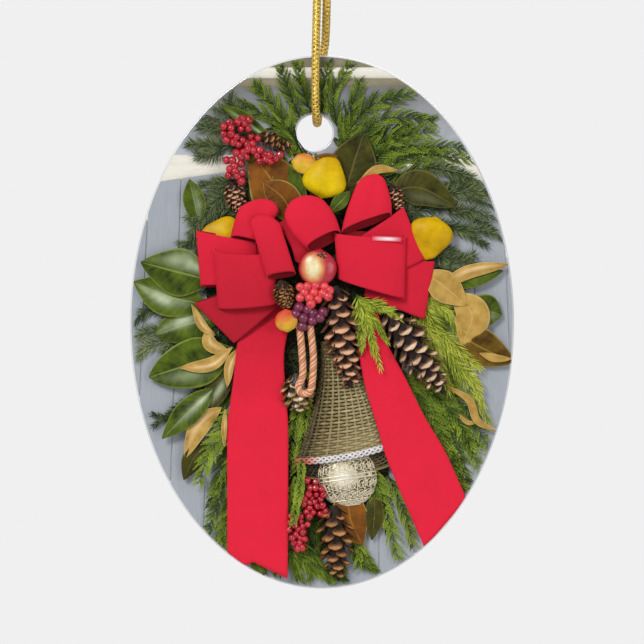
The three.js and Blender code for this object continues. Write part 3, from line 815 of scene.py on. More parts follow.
# Name, node that its midrib is measured in, midrib, width, depth, kind and other looks
LEAVES = (
    # Left side, from the top down
    ("leaf_left_shoulder", "fir_left", (0.15, 0.17, 0.1, 0.3, 0.04, 0.45),
     4.2, 1.0, "leaf", dict(shine=(0.4, -0.3, 0.5))),
    ("leaf_left_lower_blade", "leaf_left_lower", (0.96, 0.19, 0.46, 0.4, -0.02, 0.81),
     7.2, 1.5, "leaf", dict(arch=0.3, fold=0.2, shine=(0.62, 0.2, 0.9))),
    ("leaf_left_upper_blade", "leaf_left_upper", (1.02, 0.34, 0.56, 0.53, -0.02, 0.78),
     8.6, 2.0, "leaf", dict(arch=0.4, fold=-0.25, shine=(0.4, -0.5, 1.0))),
    ("leaf_left_round", "leaf_left_curled", (0.87, 1.47, 0.49, 1.32, 0.06, 1.09),
     7.0, 1.2, "leaf", dict(shine=(0.62, -0.25, 0.9), blunt=1.3)),
    ("leaf_left_curled_blade", "leaf_left_curled", (1, 0.81, 0.55, 0.55, -0.01, 0.25),
     9.2, 1.6, "leaf", dict(arch=0.3, cup=0.25, shine=(0.55, 0.4, 0.35), blunt=1.15)),
    ("leaf_left_curled_underside", "leaf_left_curled", (0.97, 0.85, 0.72, 0.51, 0.36, 0.44),
     2.6, 2.3, "underside", dict(arch=0.3, blunt=1.1, shine=(0.5, 0.1, 1.0))),
    ("leaf_left_inner", "leaf_left_diagonal", (0.95, 1.34, 0.77, 0.9, 0.5, 0.38),
     4.4, 1.5, "leaf_dark", dict(shine=(0.5, 0.2, 0.6))),
    ("leaf_left_diagonal_blade", "leaf_left_diagonal", (0.7, 0.88, 0.39, 0.51, -0.01, -0.01),
     4.8, 1.9, "leaf", dict(fold=0.2, shine=(0.35, 0.1, 0.9))),
    ("leaf_left_lowest", "leaf_left_tan", (0.6, 0.38, 0.25, 0.06, 0, -0.35), 3.8, 1.4, "leaf_dark"),
    ("leaf_left_tan_blade", "leaf_left_tan", (0.96, 1.04, 0.41, 0.69, 0.03, 0.06),
     3.6, 1.7, "underside", dict(cup=0.2, shine=(0.5, -0.2, 0.7))),
    ("leaf_left_curl_0", "bow_loop_lower_left", (-0.03, 0.81, 0.1, 0.37, 0.26, 0.17),
     1.6, 2.2, "underside", CURLED),
    ("leaf_left_curl_1", "bow_loop_lower_left", (0.15, 0.31, 0.21, -0.03, 0.44, -0.19),
     2.6, 2.2, "underside", CURLED),
    ("leaf_left_curl_2", "bow_tail_left", (0.18, 0.92, 0.04, 0.85, 0, 0.76), 1.8, 2.2, "underside", CURLED),
    ("leaf_left_curl_3", "bow_tail_left", (-0.02, 0.67, -0.05, 0.6, -0.04, 0.52),
     1.0, 2.2, "underside", CURLED),
    ("leaf_top_left_long", "fir_left", (0.99, 0.7, 0.69, 0.83, 0.4, 0.93),
     2.4, 1.35, "leaf", dict(cup=0.12, arch=0.1, shine=(0.4, 0.3, 1.0))),
    # Round the upper pear
    ("leaf_brown_back", "leaf_brown_folded", (1.07, -0.24, 0.78, 0.45, 0.53, 0.94),
     5.4, 1.3, "leaf", dict(cup=0.2)),
    ("leaf_brown_folded_blade", "leaf_brown_folded", (0.78, -0.28, 0.53, 0.45, 0.11, 1.04),
     9.6, 1.6, "brown_leaf", dict(arch=0.2, fold=0.25)),
    ("leaf_brown_front", "leaf_brown_folded", (0.91, -0.28, 0.69, 0.21, 0.34, 0.51),
     6.2, 2.1, "brown_leaf", dict(arch=0.2, ripple=0.25)),
    ("leaf_brown_green_tip", "leaf_brown_folded", (0.06, 0.86, 0.13, 0.98, 0.27, 1.08), 1.5, 1.7, "leaf"),
    ("leaf_behind_pear_blade", "leaf_behind_pear", (0.36, -0.07, 0.53, 0.44, 0.78, 1.01),
     9.4, 1.5, "leaf_dark", dict(arch=0.15, cup=0.2)),
    ("leaf_pear_light", "leaf_behind_pear", (0.14, -0.07, 0.32, 0.07, 0.53, 0.22), 2.6, 3.0, "leaf"),
    ("leaf_top_right_curl", "leaf_behind_pear", (0.66, 0.32, 1.03, 0.51, 1.43, 0.5), 1.6, 2.3, "underside"),
    # Right side, from the top down
    ("leaf_right_dark_blade", "leaf_right_dark", (-0.03, 0.59, 0.46, 0.68, 1.03, 0.18),
     6.4, 1.8, "leaf_dark", dict(arch=0.4, cup=-0.2, shine=(0.6, -0.5, 0.12))),
    ("leaf_right_long_green", "leaf_right_tan", (0.42, 0.58, 1.19, 0.77, 1.86, 0.99), 2.8, 1.4, "leaf"),
    ("leaf_right_long_tan", "leaf_right_tan", (0.4, 0.58, 1.06, 0.96, 2, 1.15),
     2.6, 1.8, "underside", dict(shine=(0.6, 0.2, 0.9))),
    ("leaf_right_round", "leaf_right_orange", (0.26, 0.42, 0.84, 0.72, 1.42, 0.66),
     6.2, 1.2, "leaf", dict(blunt=1.3, shine=(0.5, -0.35, 1.0))),
    ("leaf_right_orange_blade", "leaf_right_orange", (0.14, 1.04, 0.62, 0.66, 0.36, 0.08),
     6.6, 1.7, "underside", dict(arch=0.3, ripple=0.16)),
    ("leaf_right_tan_blade", "leaf_right_tan", (-0.01, 0.96, 0.47, 0.6, 1.01, 0.11),
     5.6, 2.0, "underside", dict(fold=-0.25)),
    ("leaf_right_brown_blade", "leaf_right_brown", (-0.08, 0.86, 0.42, 0.44, 1.09, 0.04),
     6.8, 1.4, "olive_leaf", dict(fold=0.3)),
    ("leaf_right_brown_edge", "leaf_right_brown", (0.42, 0.28, 0.7, 0.15, 1.03, 0.13),
     1.5, 1.9, "underside"),
    ("leaf_right_curl_long", "cedar_right_low", (0.62, 0.88, 0.85, 0.78, 0.94, 0.62, 1.13, 0.54),
     1.5, 2.0, "underside", dict(arch=0.2, ripple=0.2)),
    ("leaf_right_curl_short", "cedar_right_low", (0.75, 0.67, 0.83, 0.61, 0.92, 0.6),
     0.9, 1.8, "underside"),
    # Below the ball
    ("leaf_below_dark", "leaf_below_ball", (1, 1.11, 1.03, 0.66, 0.97, 0.09), 3.4, 1.2, "leaf_dark"),
    ("leaf_below_ball_blade", "leaf_below_ball", (0.43, 1.28, 0.41, 0.6, 0.73, -0.02),
     6.6, 1.5, "brown_leaf", dict(arch=0.3, fold=-0.3)),
    ("leaf_notch", "bow_tail_left", (0.36, 0.09, 0.48, 0.04, 0.61, -0.01), 2.2, 1.2, "leaf"),
)


def add_leaves():
    for seed, (name, node, shares, width, level, kind, *looks) in enumerate(LEAVES, 1):
        replaced = [name.removesuffix("_blade")] if name.endswith("_blade") else []
        leaf(name, along(node, *shares), width, level, kind, replaced, seed=seed,
             **(looks[0] if looks else {}))


# ---------------------------------------------------------------- greenery

STEM_POINTS = 90


class Sprigs:
    """Gathers leaflets, each a small ridged kite, and the stems that bear them."""

    def __init__(self, seed):
        self.rng = np.random.default_rng(seed)
        self.leaflets = []
        self.stems = Parts()

    def leaflet(self, place, heading, length, width, level, lift, tone):
        self.leaflets.append((*place, heading, length, width, level, lift, tone))

    def stem(self, path, level, radius):
        line = np.column_stack([path, np.full(len(path), level)])
        line = line[inside(line[:, 0], line[:, 1], 0.3)]
        if len(line) > 3:
            self.stems.add(*tube(line, np.linspace(radius, radius * 0.4, len(line)), 5), 0.1)

    def piece(self, name, kind, nodes=()):
        """Turns every leaflet whose ends lie in the picture's field into four faces."""
        x, z, heading, length, width, level, lift, tone = np.array(self.leaflets).T
        ahead = np.stack([np.cos(heading), np.sin(heading)], 1)
        beside = np.stack([-ahead[:, 1], ahead[:, 0]], 1)
        root = np.stack([x, z], 1)
        # The cord needs room beside the hole, so leaflets lie lower there
        off_hole = np.hypot(x - HOLE[0], z - HOLE[1]) - HOLE_RADIUS
        level = np.minimum(level, 0.3 + 0.16 * np.maximum(off_hole, 0))
        tip = root + ahead * length[:, None]
        kept = inside(root[:, 0], root[:, 1], 0.05) & inside(tip[:, 0], tip[:, 1], 0.05)
        belly = root + ahead * (length * 0.45)[:, None]
        half = beside * (width / 2)[:, None]
        # Each corner's place, its share of the lift, and how much paler it is: the root is darker as
        # painted shade
        corners = [(root, 0.0, -0.35), (belly - half, 0.35, -0.05), (belly, 0.75, 0.1),
                   (belly + half, 0.35, -0.05), (tip, 1.0, 0.3)]
        points = [np.column_stack([flat, level + lift * up]) for flat, up, _ in corners]
        points = np.stack(points, 1)[kept]
        tones = np.stack([np.clip(tone + more, 0, 1) for _, _, more in corners], 1)[kept]
        faces = [tuple(5 * k + i for i in face) for k in range(len(points))
                 for face in ((0, 1, 2), (1, 4, 2), (4, 3, 2), (3, 0, 2))]
        self.stems.add(points.reshape(-1, 3), faces, tones.ravel())
        self.stems.piece(name, kind, nodes)


def stem_path(line):
    """A stem's points, the way it heads at each of them, and its length."""
    path = spline(line, STEM_POINTS)
    ahead = np.gradient(path, axis=0)
    return path, np.arctan2(ahead[:, 1], ahead[:, 0]), run_along(path)[-1]


def frond(sprigs, line, reach, level, leaflet=0.54, tone=0.45, depth=0.35):
    """A cedar frond: a stem with side shoots on both sides, each fringed with overlapping leaflets."""
    gap, width, spread, full = 1.0, 0.24, 0.8, 0.25  # full is the share at which shoots have their length
    rng = sprigs.rng
    path, headings, long = stem_path(line)
    shoots = int(2 * long / gap)
    sprigs.stem(path, level + 0.1, 0.14)
    for k in range(shoots):
        t = (k + rng.uniform(0.1, 0.9)) / shoots
        i = int(t * (STEM_POINTS - 1))
        side = 1 if k % 2 else -1
        length = reach * min(1.0, (t + 0.1) / full) * (1 - t) ** 0.5 * rng.uniform(0.6, 1.2) + 0.6
        heading = headings[i] + side * spread * rng.uniform(0.75, 1.15)
        high = level + depth * rng.uniform(0.1, 1.0)
        shade = tone + rng.uniform(-0.25, 0.25)
        place = path[i].copy()
        step = 0.4 * leaflet
        for s in np.arange(0, length, step):
            share = s / length
            size = leaflet * (1.1 - 0.5 * share) * rng.uniform(0.8, 1.2)
            for turn in (-0.6, 0.6):
                sprigs.leaflet(place, heading + turn * rng.uniform(0.8, 1.2), size, width, high, 0.14,
                               shade + 0.3 * share + rng.uniform(-0.12, 0.12))
            heading += -side * 0.5 * step / reach + rng.uniform(-0.04, 0.04)
            place = place + step * np.array([math.cos(heading), math.sin(heading)])
        sprigs.leaflet(place, heading, 1.3 * leaflet, width, high, 0.14, shade + 0.4)


def needles(sprigs, line, length, level, gap=0.26, width=0.2, spread=0.95, tone=0.4, depth=0.3):
    """A stem with needles along both sides and shorter ones between, as if those leaned to the viewer."""
    taper = 0.4
    rng = sprigs.rng
    path, headings, long = stem_path(line)
    count = int(long / gap)
    sprigs.stem(path, level, 0.2)
    for k in range(count):
        t = (k + rng.uniform(0.0, 1.0)) / count
        i = int(t * (STEM_POINTS - 1))
        for side in (-1, 1, rng.uniform(-0.5, 0.5)):
            size = length * (1 - taper * t) * rng.uniform(0.75, 1.1) * (1 if abs(side) == 1 else 0.7)
            heading = headings[i] + side * (spread - 0.35 * t) * rng.uniform(0.75, 1.15)
            sprigs.leaflet(path[i], heading, size, width, level + depth * rng.uniform(0, 1), 0.12,
                           tone + rng.uniform(-0.25, 0.3))
    sprigs.leaflet(path[-1], headings[-1], length * (1 - taper), width, level + depth, 0.1, tone + 0.2)


def add_bough_core():
    """Shadowed greenery behind the bow: a plate painted dark as shade, under dark needles that point every
    way.
    """
    outline = along("bough_core", 0.4, 0.97, 0.6, 1, 0.8, 0.99, 0.95, 0.94, 1.07, 0.82, 1.07, 0.63, 0.99,
                    0.45, 0.93, 0.35, 0.92, 0.07, 0.78, -0.08, 0.6, -0.12, 0.54, 0.04, 0.52, 0.39, 0.38,
                    0.4, 0.28, 0.47, 0.26, 0.63, 0.24, 0.78, 0.3, 0.9)
    flat, triangles = flat_plate(outline, spacing=1.5)
    plate = np.column_stack([flat, np.full(len(flat), 0.36)])
    sprigs = Sprigs(40)
    sprigs.stems.add(plate, [tuple(t) for t in triangles], 0.0)
    rng = sprigs.rng
    low, high = flat.min(0), flat.max(0)
    count = 6000
    while len(sprigs.leaflets) < count:
        spot = rng.uniform(low, high)
        if within(spot, np.array(outline)):
            sprigs.leaflet(spot, rng.uniform(0, 2 * math.pi), rng.uniform(1.2, 2.4), 0.26,
                           rng.uniform(0.42, 0.9), 0.12, rng.uniform(0.0, 0.42))
    sprigs.piece("bough_core_needles", "fir", ["bough_core"])

    side = Sprigs(41)
    for node, size, tone, *line in (
            ("leaf_left_lower", 3.2, 0.35, 0.57, 0.07, 0.24, 0.1, 0, -0.22),
            ("leaf_left_lower", 3.2, 0.7, 0.6, -0.51, 0.24, -0.51, -0.01, -0.66),
            ("leaf_left_lower", 3.2, 0.8, 0.57, -0.72, 0.21, -0.9, 0.02, -1.19),
            ("leaf_left_lower", 2.6, 0.75, 0.83, -0.57, 0.57, -0.75, 0.38, -1.07),
            ("leaf_left_curled", 2.0, 0.7, 0.81, 1.24, 0.49, 0.98, 0.17, 0.59),
            ("leaf_left_diagonal", 2.2, 0.35, 0.85, 1.1, 0.39, 0.71, -0.12, 0.22),
            ("leaf_left_diagonal", 1.8, 0.3, 0.7, 0.61, 0.24, 0.32, -0.15, 0.42),
            ("leaf_left_upper", 1.8, 0.6, 1.04, 0.92, 0.8, 1.18, 0.53, 1.24)):
        needles(side, along(node, *line), size, 0.6, gap=0.2, tone=tone)
    side.piece("bough_left_needles", "fir")


def add_fir():
    left = Sprigs(42)
    for size, *line in (
            (2.6, 0.81, 0.69, 0.44, 0.77, 0.05, 0.82), (2.4, 0.75, 0.62, 0.44, 0.67, 0.01, 0.67),
            (2.4, 0.69, 0.76, 0.44, 0.88, 0.27, 0.93), (2.4, 0.75, 0.79, 0.54, 0.93, 0.48, 1.04),
            (2.4, 1, 0.37, 0.56, 0.44, 0.16, 0.42), (2.6, 0.94, 0.27, 0.5, 0.36, 0.06, 0.19),
            (2.6, 0.81, 0.2, 0.44, 0.26, 0, 0.02), (2.2, 0.69, 0.13, 0.31, 0.09, -0.02, -0.13)):
        needles(left, along("fir_left", *line), size, 0.75, gap=0.22, spread=1.0, tone=0.5)
    for line in (
            (0.51, 0.79, 0.32, 0.77, 0.07, 0.8), (0.53, 0.91, 0.43, 0.97, 0.31, 1),
            (0.43, 0.65, 0.24, 0.67, 0.04, 0.68), (0.43, 0.64, 0.29, 0.6, 0.13, 0.6),
            (0.39, 0.83, 0.24, 0.86, 0.13, 0.85), (0.51, 0.43, 0.32, 0.38, 0.02, 0.2),
            (0.45, 0.35, 0.26, 0.26, 0.05, 0.1)):
        needles(left, along("fir_left", *line), 3.0, 0.85, gap=0.2, spread=1.0, tone=0.55)
    left.piece("fir_left_needles", "fir", ["fir_left"])
    right = Sprigs(43)
    for size, *line in (
            (2.4, 0.03, 0.83, 0.43, 0.93, 0.74, 1.03), (2.8, 0.12, 0.77, 0.52, 0.9, 1, 0.71),
            (2.8, 0.16, 0.64, 0.6, 0.71, 1.02, 0.35), (2.6, 0.25, 0.52, 0.6, 0.49, 0.87, 0.27),
            (2.2, 0.34, 0.26, 0.56, 0.22, 0.78, 0.04), (2.0, 0.29, 0.07, 0.52, 0.07, 0.69, -0.15),
            (1.8, 0.38, -0.12, 0.65, -0.22, 0.87, -0.13)):
        needles(right, along("fir_right", *line), size, 0.75, gap=0.22, spread=1.0, tone=0.45)
    for line in (
            (0.39, 1.18, 0.62, 1.13, 0.83, 1.02), (0.51, 0.86, 0.7, 0.91, 0.9, 0.85),
            (0.56, 0.64, 0.75, 0.67, 0.96, 0.59), (0.6, 0.45, 0.79, 0.45, 0.99, 0.39),
            (0.47, 0.17, 0.62, 0.09, 0.77, 0.15), (0.47, 0.01, 0.62, -0.04, 0.77, -0.15)):
        needles(right, along("fir_right", *line), 2.8, 0.85, gap=0.22, spread=1.0, tone=0.6)
    right.piece("fir_right_needles", "fir", ["fir_right"])


def add_cedar():
    top = Sprigs(44)
    for reach, *line in (
            (3.4, 0.34, 0.16, 0.2, 0.51, 0, 0.7), (2.8, 0.29, 0.24, 0.17, 0.64, 0.07, 0.85),
            (2.4, 0.29, 0.47, 0.23, 0.73, 0.18, 1), (2.4, 0.34, 0.51, 0.28, 0.78, 0.25, 1.04),
            (2.2, 0.36, 0.56, 0.36, 0.78, 0.39, 1.04), (2.4, 0.42, 0.51, 0.41, 0.78, 0.49, 1.04),
            (2.6, 0.43, 0.38, 0.48, 0.64, 0.52, 0.88), (3.4, 0.43, 0.29, 0.54, 0.64, 0.74, 0.79),
            (3.0, 0.45, 0.24, 0.61, 0.56, 0.84, 0.56), (3.0, 0.47, 0.2, 0.64, 0.4, 0.84, 0.47),
            (3.2, 0.5, 0.11, 0.68, 0.33, 0.98, 0.33), (2.8, 0.57, 0.07, 0.75, 0.27, 1.02, 0.23),
            (2.4, 0.64, 0.02, 0.84, 0.18, 1.08, -0.07), (3.0, 0.17, 0.51, 0.2, 0.38, 0.17, 0.16),
            (2.4, 0.24, 0.51, 0.26, 0.38, 0.23, 0.2), (2.4, 0.41, 0.42, 0.5, 0.29, 0.54, 0.16)):
        frond(top, along("cedar_top", *line), reach, 0.45, depth=0.4, tone=0.36)
    # Dark fronds low behind the rest: painted shade in the depth of the greenery.
    for line in (
            (0.45, 0.3, 0.6, 0.25, 0.75, 0.2), (0.5, 0.2, 0.62, 0.1, 0.78, 0.02),
            (0.48, 0.35, 0.6, 0.42, 0.74, 0.5), (0.46, 0.25, 0.55, 0.05, 0.62, -0.1),
            (0.55, 0.3, 0.7, 0.28, 0.86, 0.3), (0.3, 0.3, 0.22, 0.4, 0.14, 0.5),
            (0.55, 0.0, 0.68, -0.05, 0.8, -0.12)):
        frond(top, along("cedar_top", *line), 2.6, 0.25, depth=0.15, tone=0.05)
    top.piece("cedar_top_fronds", "cedar", ["cedar_top"])

    right = Sprigs(45)
    for reach, tone, *line in (
            (2.8, 0.4, 0.01, 1.04, 0.4, 0.71, 0.69, 0.19), (2.8, 0.4, 0.12, 1, 0.52, 0.62, 0.83, -0.03),
            (2.8, 0.4, 0.18, 1, 0.69, 0.67, 0.96, 0.25), (2.6, 0.3, 0.24, 1, 0.74, 0.79, 1.08, 0.38),
            (2.4, 0.55, 0.35, 0.54, 0.57, 0.29, 0.69, 0),
            (2.2, 0.5, 0.46, 0.38, 0.74, 0.12, 0.94, 0.08)):
        frond(right, along("cedar_right_low", *line), reach, 0.7, tone=tone + 0.12, leaflet=0.8)
    # Dark fronds low behind the rest: painted shade in the depth of the greenery.
    for line in (
            (0.1, 0.9, 0.4, 0.55, 0.6, 0.2), (0.3, 0.95, 0.6, 0.6, 0.8, 0.3),
            (0.05, 0.78, 0.35, 0.45, 0.5, 0.2), (0.4, 0.9, 0.7, 0.6, 0.92, 0.42),
            (0.2, 0.6, 0.45, 0.35, 0.6, 0.05), (0.5, 0.5, 0.7, 0.3, 0.85, 0.12)):
        frond(right, along("cedar_right_low", *line), 2.4, 0.45, tone=0.22, leaflet=0.8)
    right.piece("cedar_right_fronds", "cedar", ["cedar_right_low"])

    left = Sprigs(46)
    for reach, tone, *line in (
            (3.0, 0.75, 0.75, 0.91, 0.38, 0.72, 0.17, 0.4),
            (2.6, 0.7, 0.68, 1.05, 0.5, 0.91, 0.35, 0.62),
            (2.8, 0.35, 0.68, 0.67, 0.5, 0.34, 0.26, -0.09),
            (2.0, 0.5, 0.68, 0.29, 0.53, 0, 0.48, -0.23),
            (2.4, 0.3, 0.75, 1.24, 0.53, 1.14, 0.45, 0.95),
            (2.4, 0.4, 0.75, 0.5, 0.6, 0.2, 0.42, -0.16), (2.4, 0.3, 0.72, 0.85, 0.5, 0.55, 0.32, 0.2)):
        level = 1.95 if tone > 0.6 else 0.8  # the palest lie over the leaves
        frond(left, along("cedar_left_low", *line), reach, level, tone=tone)
    left.piece("cedar_left_fronds", "cedar", ["cedar_left_low"])

    bottom = Sprigs(47)
    for reach, tone, *line in (
            (2.0, 0.75, 0.41, 1.79, 0.37, 1.3, 0.29, 0.66),
            (1.8, 0.5, 0.45, 1.94, 0.34, 1.55, 0.27, 1.1),
            (1.8, 0.5, 0.43, 1.05, 0.38, 0.76, 0.34, 0.38),
            (2.8, 0.65, 0.81, 1.1, 0.9, 0.71, 0.99, 0.23), (2.0, 0.4, 0.78, 1, 0.83, 0.81, 0.85, 0.56),
            (2.2, 0.6, 0.92, 1, 1.03, 0.66, 1.08, 0.36), (1.6, 0.6, 0.64, 0.51, 0.73, 0.36, 0.73, 0.17),
            (1.2, 0.7, 0.29, 0.91, 0.27, 0.71, 0.26, 0.51)):
        frond(bottom, along("cedar_bottom", *line), reach, 1.0, tone=tone)
    frond(bottom, along("cedar_bottom", 0.37, 1.14, 0.35, 0.85, 0.31, 0.56), 1.3, 2.95, tone=0.7)
    # Dark fronds low behind the rest: painted shade in the depth of the greenery.
    for line in (
            (0.84, 1.03, 0.9, 0.77, 0.93, 0.5), (0.23, 1.3, 0.2, 1, 0.18, 0.71),
            (0.8, 1.1, 0.83, 0.86, 0.84, 0.61)):
        frond(bottom, along("cedar_bottom", *line), 2.4, 0.6, tone=0.15)
    bottom.piece("cedar_bottom_fronds", "cedar", ["cedar_bottom"])

    base = Sprigs(48)
    for size, tone, *line in (
            (3.0, 0.75, 0.36, 0.41, 0.43, 0.17, 0.58, 0.01),
            (2.6, 0.6, 0.32, 0.46, 0.32, 0.22, 0.39, -0.01),
            (2.6, 0.6, 0.5, 0.41, 0.62, 0.17, 0.64, -0.01),
            (2.6, 0.55, 0.67, 0.46, 0.78, 0.27, 0.87, 0.09),
            (2.2, 0.5, 0.29, 0.36, 0.22, 0.22, 0.18, 0.04),
            (2.0, 0.25, 0.43, 0.61, 0.46, 0.41, 0.46, 0.22),
            (1.4, 0.5, 0.11, 0.22, 0.13, 0.12, 0.18, 0.02)):
        needles(base, along("cedar_bottom", *line), size, 0.7, spread=0.6, tone=tone)
    for line in (
            (0.3, 0.33, 0.38, 0.2, 0.53, 0.08), (0.36, 0.31, 0.41, 0.16, 0.41, 0.02),
            (0.41, 0.33, 0.48, 0.18, 0.64, 0.05), (0.3, 0.31, 0.33, 0.16, 0.33, 0.05),
            (0.69, 0.38, 0.74, 0.23, 0.86, 0.11), (0.44, 0.22, 0.52, 0.12, 0.55, 0.01),
            (0.28, 0.27, 0.24, 0.15, 0.23, 0.05)):
        needles(base, along("cedar_bottom", *line), 3.2, 0.85, gap=0.13, width=0.16, spread=0.55, tone=0.42)
    # Dark needles low behind the rest: painted shade in the depth of the greenery.
    for line in (
            (0.41, 0.68, 0.43, 0.5, 0.46, 0.27), (0.46, 0.71, 0.47, 0.49, 0.51, 0.31),
            (0.36, 0.68, 0.36, 0.5, 0.37, 0.27), (0.57, 0.41, 0.6, 0.24, 0.62, 0.08)):
        needles(base, along("cedar_bottom", *line), 2.8, 0.5, gap=0.1, spread=1.0, tone=0.12)
    base.piece("fir_bottom_needles", "cedar")


def add_cypress():
    right = Sprigs(49)
    for size, *line in (
            (3.8, 0.09, 0.96, 0.31, 0.69, 0.55, 0.42, 0.93, 0.02),
            (3.0, 0.12, 0.92, 0.42, 0.81, 0.61, 0.62), (3.2, 0.05, 0.81, 0.25, 0.54, 0.48, 0.28),
            (3.0, 0.33, 0.65, 0.61, 0.45, 0.81, 0.28)):
        needles(right, along("cypress_right", *line), size, 1.1, gap=0.3, width=0.16, spread=0.72,
                depth=0.6, tone=0.5)
    for line in (
            (0.2, 0.93, 0.38, 0.84, 0.61, 0.69), (0.22, 0.69, 0.33, 0.52, 0.46, 0.26),
            (0.38, 0.67, 0.61, 0.52, 0.79, 0.42), (0.48, 0.46, 0.72, 0.33, 0.85, 0.16),
            (0.14, 0.75, 0.28, 0.62, 0.38, 0.39)):
        needles(right, along("cypress_right", *line), 3.6, 1.2, gap=0.26, width=0.15, spread=0.62,
                depth=0.7, tone=0.6)
    # Dark needles low behind the rest: painted shade in the depth of the greenery.
    for line in (
            (0.09, 0.72, 0.38, 0.46, 0.59, 0.2), (0.38, 0.88, 0.59, 0.69, 0.72, 0.49),
            (0.23, 0.83, 0.44, 0.6, 0.61, 0.35)):
        needles(right, along("cypress_right", *line), 3.4, 0.6, gap=0.16, spread=0.9, tone=0.05)
    right.piece("cypress_right_needles", "cypress", ["cypress_right"])
    centre = Sprigs(50)
    for size, *line in (
            (2.6, 0.17, 0.93, 0.34, 0.63, 0.63, 0.03), (2.0, 0.23, 0.9, 0.52, 0.77, 0.86, 0.75),
            (1.8, 0.19, 0.79, 0.28, 0.48, 0.3, 0.31)):
        needles(centre, along("cypress_centre", *line), size, 4.4, gap=0.28, width=0.2, spread=0.75,
                depth=0.5, tone=0.5)
    for line in (
            (0.17, 0.84, 0.21, 0.55, 0.25, 0.26), (0.27, 0.81, 0.52, 0.59, 0.76, 0.36),
            (0.19, 0.86, 0.39, 0.64, 0.48, 0.23), (0.35, 0.84, 0.64, 0.79, 1, 0.63)):
        needles(centre, along("cypress_centre", *line), 2.6, 4.2, gap=0.2, width=0.2, spread=0.6, depth=0.5,
                tone=0.3)
    centre.piece("cypress_centre_needles", "cypress", ["cypress_centre"])


# ---------------------------------------------------------------- fruit and berries

def lathe(base, tip, profile, level, flatten, lumps=0.0, seed=0):
    """Points, faces and shares along a turned form from base to tip; profile holds its radii.

    flatten is its depth over its width, as the relief is shallow."""
    rows, columns = 30, 40
    base, tip = np.asarray(base), np.asarray(tip)
    axis = tip - base
    beside = np.array([-axis[1], axis[0]]) / np.linalg.norm(axis)
    radii = spline([(r, 0) for r in profile], rows)[:, 0]
    turn = circle(columns)
    t = np.linspace(0, 1, rows)
    t = 0.5 - 0.5 * np.cos(math.pi * t)
    radii = np.interp(t, np.linspace(0, 1, rows), radii)
    lump = 1 + lumps * np.sin(3 * turn[None] + 4 * t[:, None] + seed) * np.sin(math.pi * t[:, None])
    across = radii[:, None] * np.cos(turn)[None] * lump
    out = radii[:, None] * np.sin(turn)[None] * lump * flatten
    flat = (base + axis * t[:, None])[:, None] + beside * across[..., None]
    points = np.dstack([flat, level + out]).reshape(-1, 3)
    return points, tube_faces(rows, columns), np.repeat(t, columns)


PEAR = (0.05, 2.6, 3.7, 4.05, 3.95, 3.5, 2.9, 2.3, 1.6, 0.1)  # radii from base to tip
ROUND = (0.02, 0.6, 0.85, 0.97, 1.0, 0.97, 0.85, 0.6, 0.02)  # for a radius of 1


def add_fruit():
    for seed, (node, line, scale, level, flatten) in enumerate((
            ("pear_upper", (0.47, -0.2, 0.71, 1.11), 1.0, 2.5, 0.42),
            ("pear_left", (1.34, -0.8, -0.32, -0.3), 0.95, 1.2, 0.35),
            ("pear_right", (0.66, 1.06, 0.3, -0.14), 1.0, 2.2, 0.42)), 1):
        pear = Parts()
        radii = [r * scale for r in PEAR]
        points, faces, share = lathe(*along(node, *line), radii, level, flatten, 0.03, seed)
        pear.add(points, faces, 0.55 + 0.2 * np.sin(3 * share + seed) - 0.3 * (share > 0.97))
        pear.piece(node + "_fruit", "pear", [node])

    apple = Parts()
    ends = along("apple_centre", 0.44, -0.01, 0.59, 1)
    points, faces, _ = lathe(*ends, [3.5 * r for r in ROUND], 4.9, 0.4)
    # Red grows with the distance from a pale spot left of the middle: the apple's own yellow and red, and a
    # painted highlight on the pale spot.
    light = at("apple_centre", 0.4, 0.5)
    stretch = (points[:, :2] - light) * (1.0, 0.75)
    blush_and_highlight = np.clip(np.linalg.norm(stretch, axis=1) / 1.5 - 0.6, 0, 1)
    apple.add(points, faces, blush_and_highlight)
    apple.piece("apple_fruit", "apple", ["apple_centre"])
    calyx = Parts()
    rng = random.Random(60)
    sepals = 16
    start = at("apple_centre", 0.64, 0.83)
    for k in range(sepals):
        turn = 2 * math.pi * k / sepals
        reach = rng.uniform(0.5, 1.0) * np.array([math.cos(turn), 0.55 * math.sin(turn)])
        line = [(*(start + s * reach), 5.75 + 0.35 * s) for s in (0.1, 0.6, 1.1)]
        calyx.add(*tube(line, [0.16, 0.12, 0.05], 5), 0.15 + 0.5 * (k % 3 == 0))
    calyx.piece("apple_calyx", "cone")

    peach = Parts()
    # The peach and, in fractions of the same box, the crab apple: how red they are, and how much paler
    # towards the left and towards the right
    for line, radius, level, red, left, right in (
            ((0.55, -0.02, 0.45, 1), 2.1, 5.2, 0.05, 0.0, 0.5),
            ((1.86, 7.22, 0.71, 7.45), 1.9, 2.4, -0.6, 0.3, 0.0)):
        points, faces, _ = lathe(*along("peach_centre", *line), [radius * r for r in ROUND], level, 0.42)
        side, height = ((points[:, k] - points[:, k].min()) / np.ptp(points[:, k]) for k in (0, 1))
        peach.add(points, faces, np.clip(1.6 * height + red - left * (1 - side) - right * side, 0, 1))
    peach.piece("peach_and_crab_apple", "peach", ["peach_centre", "crab_apple_upper"])

    stem = Parts()
    places = along("crab_apple_upper", 1.12, 0.62, 1.62, 0.81, 2.15, 0.69)
    line = spline([(*place, d) for place, d in zip(places, (3.1, 3.4, 3.3))], 12)
    stem.add(*tube(line, np.linspace(0.32, 0.18, 12), 8), 0.4)
    stem.piece("crab_apple_stem", "cone")


def berry(parts, centre, radius, eye, lean):
    """A round berry with a dimpled dark eye on the side that eye points to."""
    points, faces = ball(12, 16)
    eye = np.asarray(eye, float) / np.linalg.norm(eye)
    near = points @ eye
    dent = np.clip((near - 0.88) / 0.12, 0, 1)
    points = points * (1 - 0.14 * dent)[:, None] * radius
    parts.add(points + np.asarray(centre), faces, np.clip(lean + 0.6 * dent, 0, 1))


